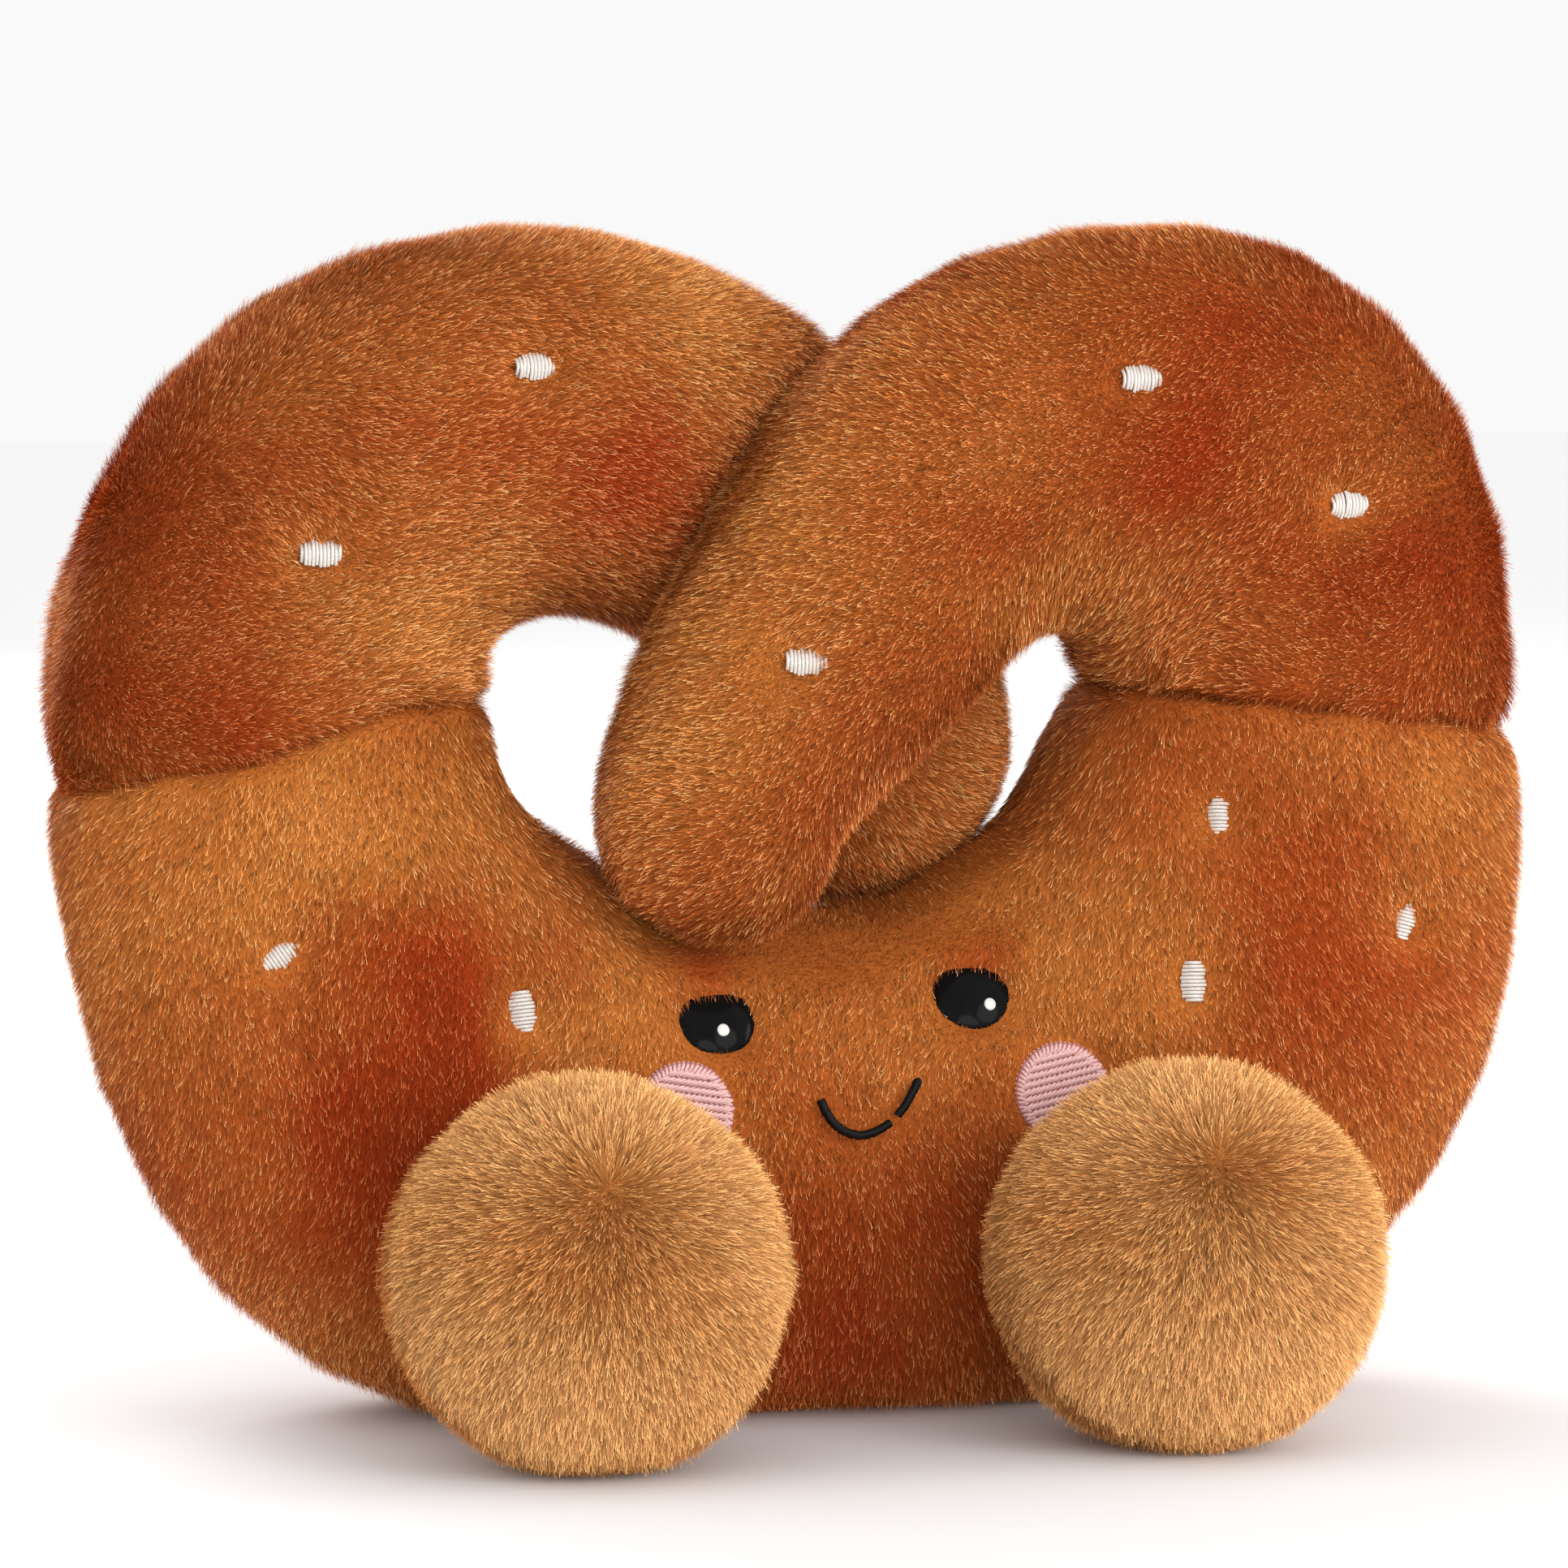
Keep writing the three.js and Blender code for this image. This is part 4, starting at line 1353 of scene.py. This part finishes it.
class PLUSH_OT_pile(bpy.types.Operator):
    """Grow the combed pile on every stuffed piece."""
    bl_idname = "plush_pretzel.pile"
    bl_label = "Combed Pile"

    def execute(self, context):
        """Builds the pieces."""
        if len(CLOTHS) != len(ROLLS) + len(FEET):
            raise RuntimeError("the stuffed rolls and feet come before their pile")
        settings = settings_of(context)
        recipe = pile_recipe()
        for name in CLOTHS:
            lay_out_pile(name, settings)
        hairs = settings.pile.hairs
        for name in ROLLS:
            for side, share in (("_front", 1.0), ("_back", 0.8)):
                make_pile(name, side, recipe, settings, PALETTE["brown_pile"],
                          hairs * share, settings.pile.body_length)
        for name in FEET:
            make_pile(name, "", recipe, settings, PALETTE["tan_pile"],
                      hairs, settings.pile.foot_length)
        for cloth in CLOTHS.values():
            for name in ("comb", "up", "cover", "pile", "lean", "lift"):
                cloth.data.attributes.remove(cloth.data.attributes[name])
        return {"FINISHED"}


class PLUSH_OT_eyes(bpy.types.Operator):
    """Make the two bead eyes."""
    bl_idname = "plush_pretzel.eyes"
    bl_label = "Bead Eyes"

    def execute(self, context):
        """Builds the pieces."""
        bead = bead_material()
        paint = plain_material(
            "eye_dot_paint", (0.74, 0.74, 0.70), (0.62, 0.62, 0.58), 0.3 * MM, 0.3, 0.01 * MM)
        for node in EYES:
            make_eye(node, bead, paint)
        return {"FINISHED"}


class PLUSH_OT_stitching(bpy.types.Operator):
    """Sew the cheeks, the smile and the grains of salt."""
    bl_idname = "plush_pretzel.stitching"
    bl_label = "Stitching"

    def execute(self, context):
        """Builds the pieces."""
        recipe = stitch_recipe()
        pink = thread_material("pink_thread", (0.80, 0.50, 0.48), (0.46, 0.18, 0.18))
        white = thread_material("white_thread", (0.74, 0.70, 0.65), (0.42, 0.36, 0.30))
        black = thread_material("black_thread", (0.006, 0.005, 0.005), (0.002, 0.002, 0.002),
                                gloss=0.1)
        for node in SALTS:
            edges, ups = salt_stitches(node)
            stitched(node + "_satin", edges, ups, recipe, 0.16 * MM, 0.5 * MM, white,
                     [node])
        for node, slant in zip(CHEEKS, (-9, 12)):
            edges, ups = cheek_stitches(node, slant)
            stitched(node + "_threads", edges, ups, recipe, 0.16 * MM, 0.28 * MM, pink,
                     [])
        edges, ups = smile_stitches("smile_stitching")
        stitched("smile_stitching_threads", edges, ups, recipe, 0.40 * MM, 0.1 * MM, black,
                 ["smile_stitching"])
        # Under the threads the cheeks' own solids are a darker pink: the thread beneath, and painted shade
        # in the gaps between stitches.
        base = plain_material(
            "pink_thread_base_and_gap_shade", (0.42, 0.14, 0.13), (0.30, 0.09, 0.08), 0.3 * MM, 0.7, 0.05 * MM)
        for node in CHEEKS:
            dress(node, base)
        return {"FINISHED"}


def dress(node, material):
    """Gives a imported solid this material."""
    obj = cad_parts[node]
    for slot in obj.material_slots:
        slot.material = material
    if not obj.material_slots:
        obj.data.materials.append(material)


class PLUSH_OT_inside(bpy.types.Operator):
    """Finish the parts inside: filling, pellets and eye washers."""
    bl_idname = "plush_pretzel.inside"
    bl_label = "Filling and Washers"

    def execute(self, context):
        """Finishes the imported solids."""
        fibre = plain_material(
            "fibre_filling", (0.86, 0.84, 0.80), (0.70, 0.68, 0.62), 0.9 * MM, 0.9, 0.3 * MM)
        pellets = plain_material(
            "pellet_filling", (0.78, 0.76, 0.68), (0.50, 0.48, 0.42), 1.6 * MM, 0.4, 0.6 * MM)
        washer = plain_material(
            "washer_plastic", (0.80, 0.80, 0.77), (0.70, 0.70, 0.66), 2.0 * MM, 0.5, 0.02 * MM)
        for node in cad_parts:
            for ending, material in (
                    ("_stuffing", fibre), ("_pellets", pellets), ("_pellet_bag", pellets),
                    ("_washer", washer)):
                if node.endswith(ending):
                    dress(node, material)
        return {"FINISHED"}


# What the camera and the lamps look at, and the lamps: name, place, size and watts.
LOOK_AT = (0, 0, 0.0534)
LAMPS = (
    ("key", (0.45, -0.90, 0.35), 0.6, 3.7), ("front", (-0.10, -1.00, 0.04), 0.6, 3.8),
    ("right", (0.95, -0.20, 0.20), 0.5, 3.0), ("back", (-0.2, 0.8, 0.6), 0.6, 4.0))
ROOM_LIGHT = 0.95
FLOOR_HALF = 3.0


class PLUSH_OT_stage(bpy.types.Operator):
    """Set up the floor, the lights and the camera."""
    bl_idname = "plush_pretzel.stage"
    bl_label = "Studio"

    def execute(self, context):
        """Builds the studio."""
        scene, settings = context.scene, settings_of(context).stage
        target = Vector(LOOK_AT)
        back = Vector((
            math.sin(settings.azimuth) * math.cos(settings.elevation),
            -math.cos(settings.azimuth) * math.cos(settings.elevation),
            math.sin(settings.elevation)))
        camera = bpy.data.cameras.new("camera")
        camera.lens, camera.sensor_width = settings.lens, 36
        distance = settings.view_width * settings.lens / camera.sensor_width
        camera.clip_start, camera.clip_end = 0.01, 20
        eye = link(bpy.data.objects.new("camera", camera))
        eye.location = target + back * distance
        eye.rotation_euler = (-back).to_track_quat("-Z", "Y").to_euler()
        scene.camera = eye
        floor_mesh = bpy.data.meshes.new("floor")
        floor_mesh.from_pydata(
            [(x * FLOOR_HALF, y * FLOOR_HALF, 0) for x, y in ((-1, -1), (1, -1), (1, 1), (-1, 1))], [],
            [(0, 1, 2, 3)])
        floor = new_object("floor", floor_mesh)
        floor_mesh.materials.append(plain_material(
            "pale_floor", (0.97, 0.97, 0.97), (0.96, 0.96, 0.96), 0.05, 0.8, 0.0))
        world = bpy.data.worlds.new("studio")
        world.use_nodes = True
        world.node_tree.nodes["Background"].inputs["Color"].default_value = (1, 1, 1, 1)
        world.node_tree.nodes["Background"].inputs["Strength"].default_value = ROOM_LIGHT
        scene.world = world
        for name, place, size, watts in LAMPS:
            soft_light(name, place, target, size, watts)
        scene.view_settings.view_transform = "Standard"
        return {"FINISHED"}


class PLUSH_PT_panel(bpy.types.Panel):
    """The buttons that build the toy."""
    bl_idname = "PLUSH_PT_panel"
    bl_label = "Plush Pretzel"
    bl_space_type = "VIEW_3D"
    bl_region_type = "UI"
    bl_category = "Plush Pretzel"

    def draw(self, context):
        """Lists the settings and the buttons."""
        layout = self.layout
        settings = settings_of(context)
        for group in (settings.cloth, settings.pile, settings.stage):
            for name in group.bl_rna.properties.keys():
                if name not in ("rna_type", "name"):
                    layout.prop(group, name)
        for operator in OPERATORS:
            layout.operator(operator.bl_idname)


OPERATORS = (
    PLUSH_OT_rolls, PLUSH_OT_feet, PLUSH_OT_pile, PLUSH_OT_eyes, PLUSH_OT_stitching,
    PLUSH_OT_inside, PLUSH_OT_stage)
CLASSES = (
    PlushClothSettings, PlushPileSettings, PlushStageSettings, PlushSettings, *OPERATORS,
    PLUSH_PT_panel)


def register():
    """Registers the settings, the operators and the panel."""
    for entry in CLASSES:
        bpy.utils.register_class(entry)
    bpy.types.Scene.plush_pretzel = PointerProperty(type=PlushSettings)


def unregister():
    """Takes them away again."""
    del bpy.types.Scene.plush_pretzel
    for entry in reversed(CLASSES):
        bpy.utils.unregister_class(entry)


def main():
    """Builds the toy."""
    register()
    for operator in OPERATORS:
        group, name = operator.bl_idname.split(".")
        getattr(getattr(bpy.ops, group), name)()


if __name__ == "__main__":
    main()
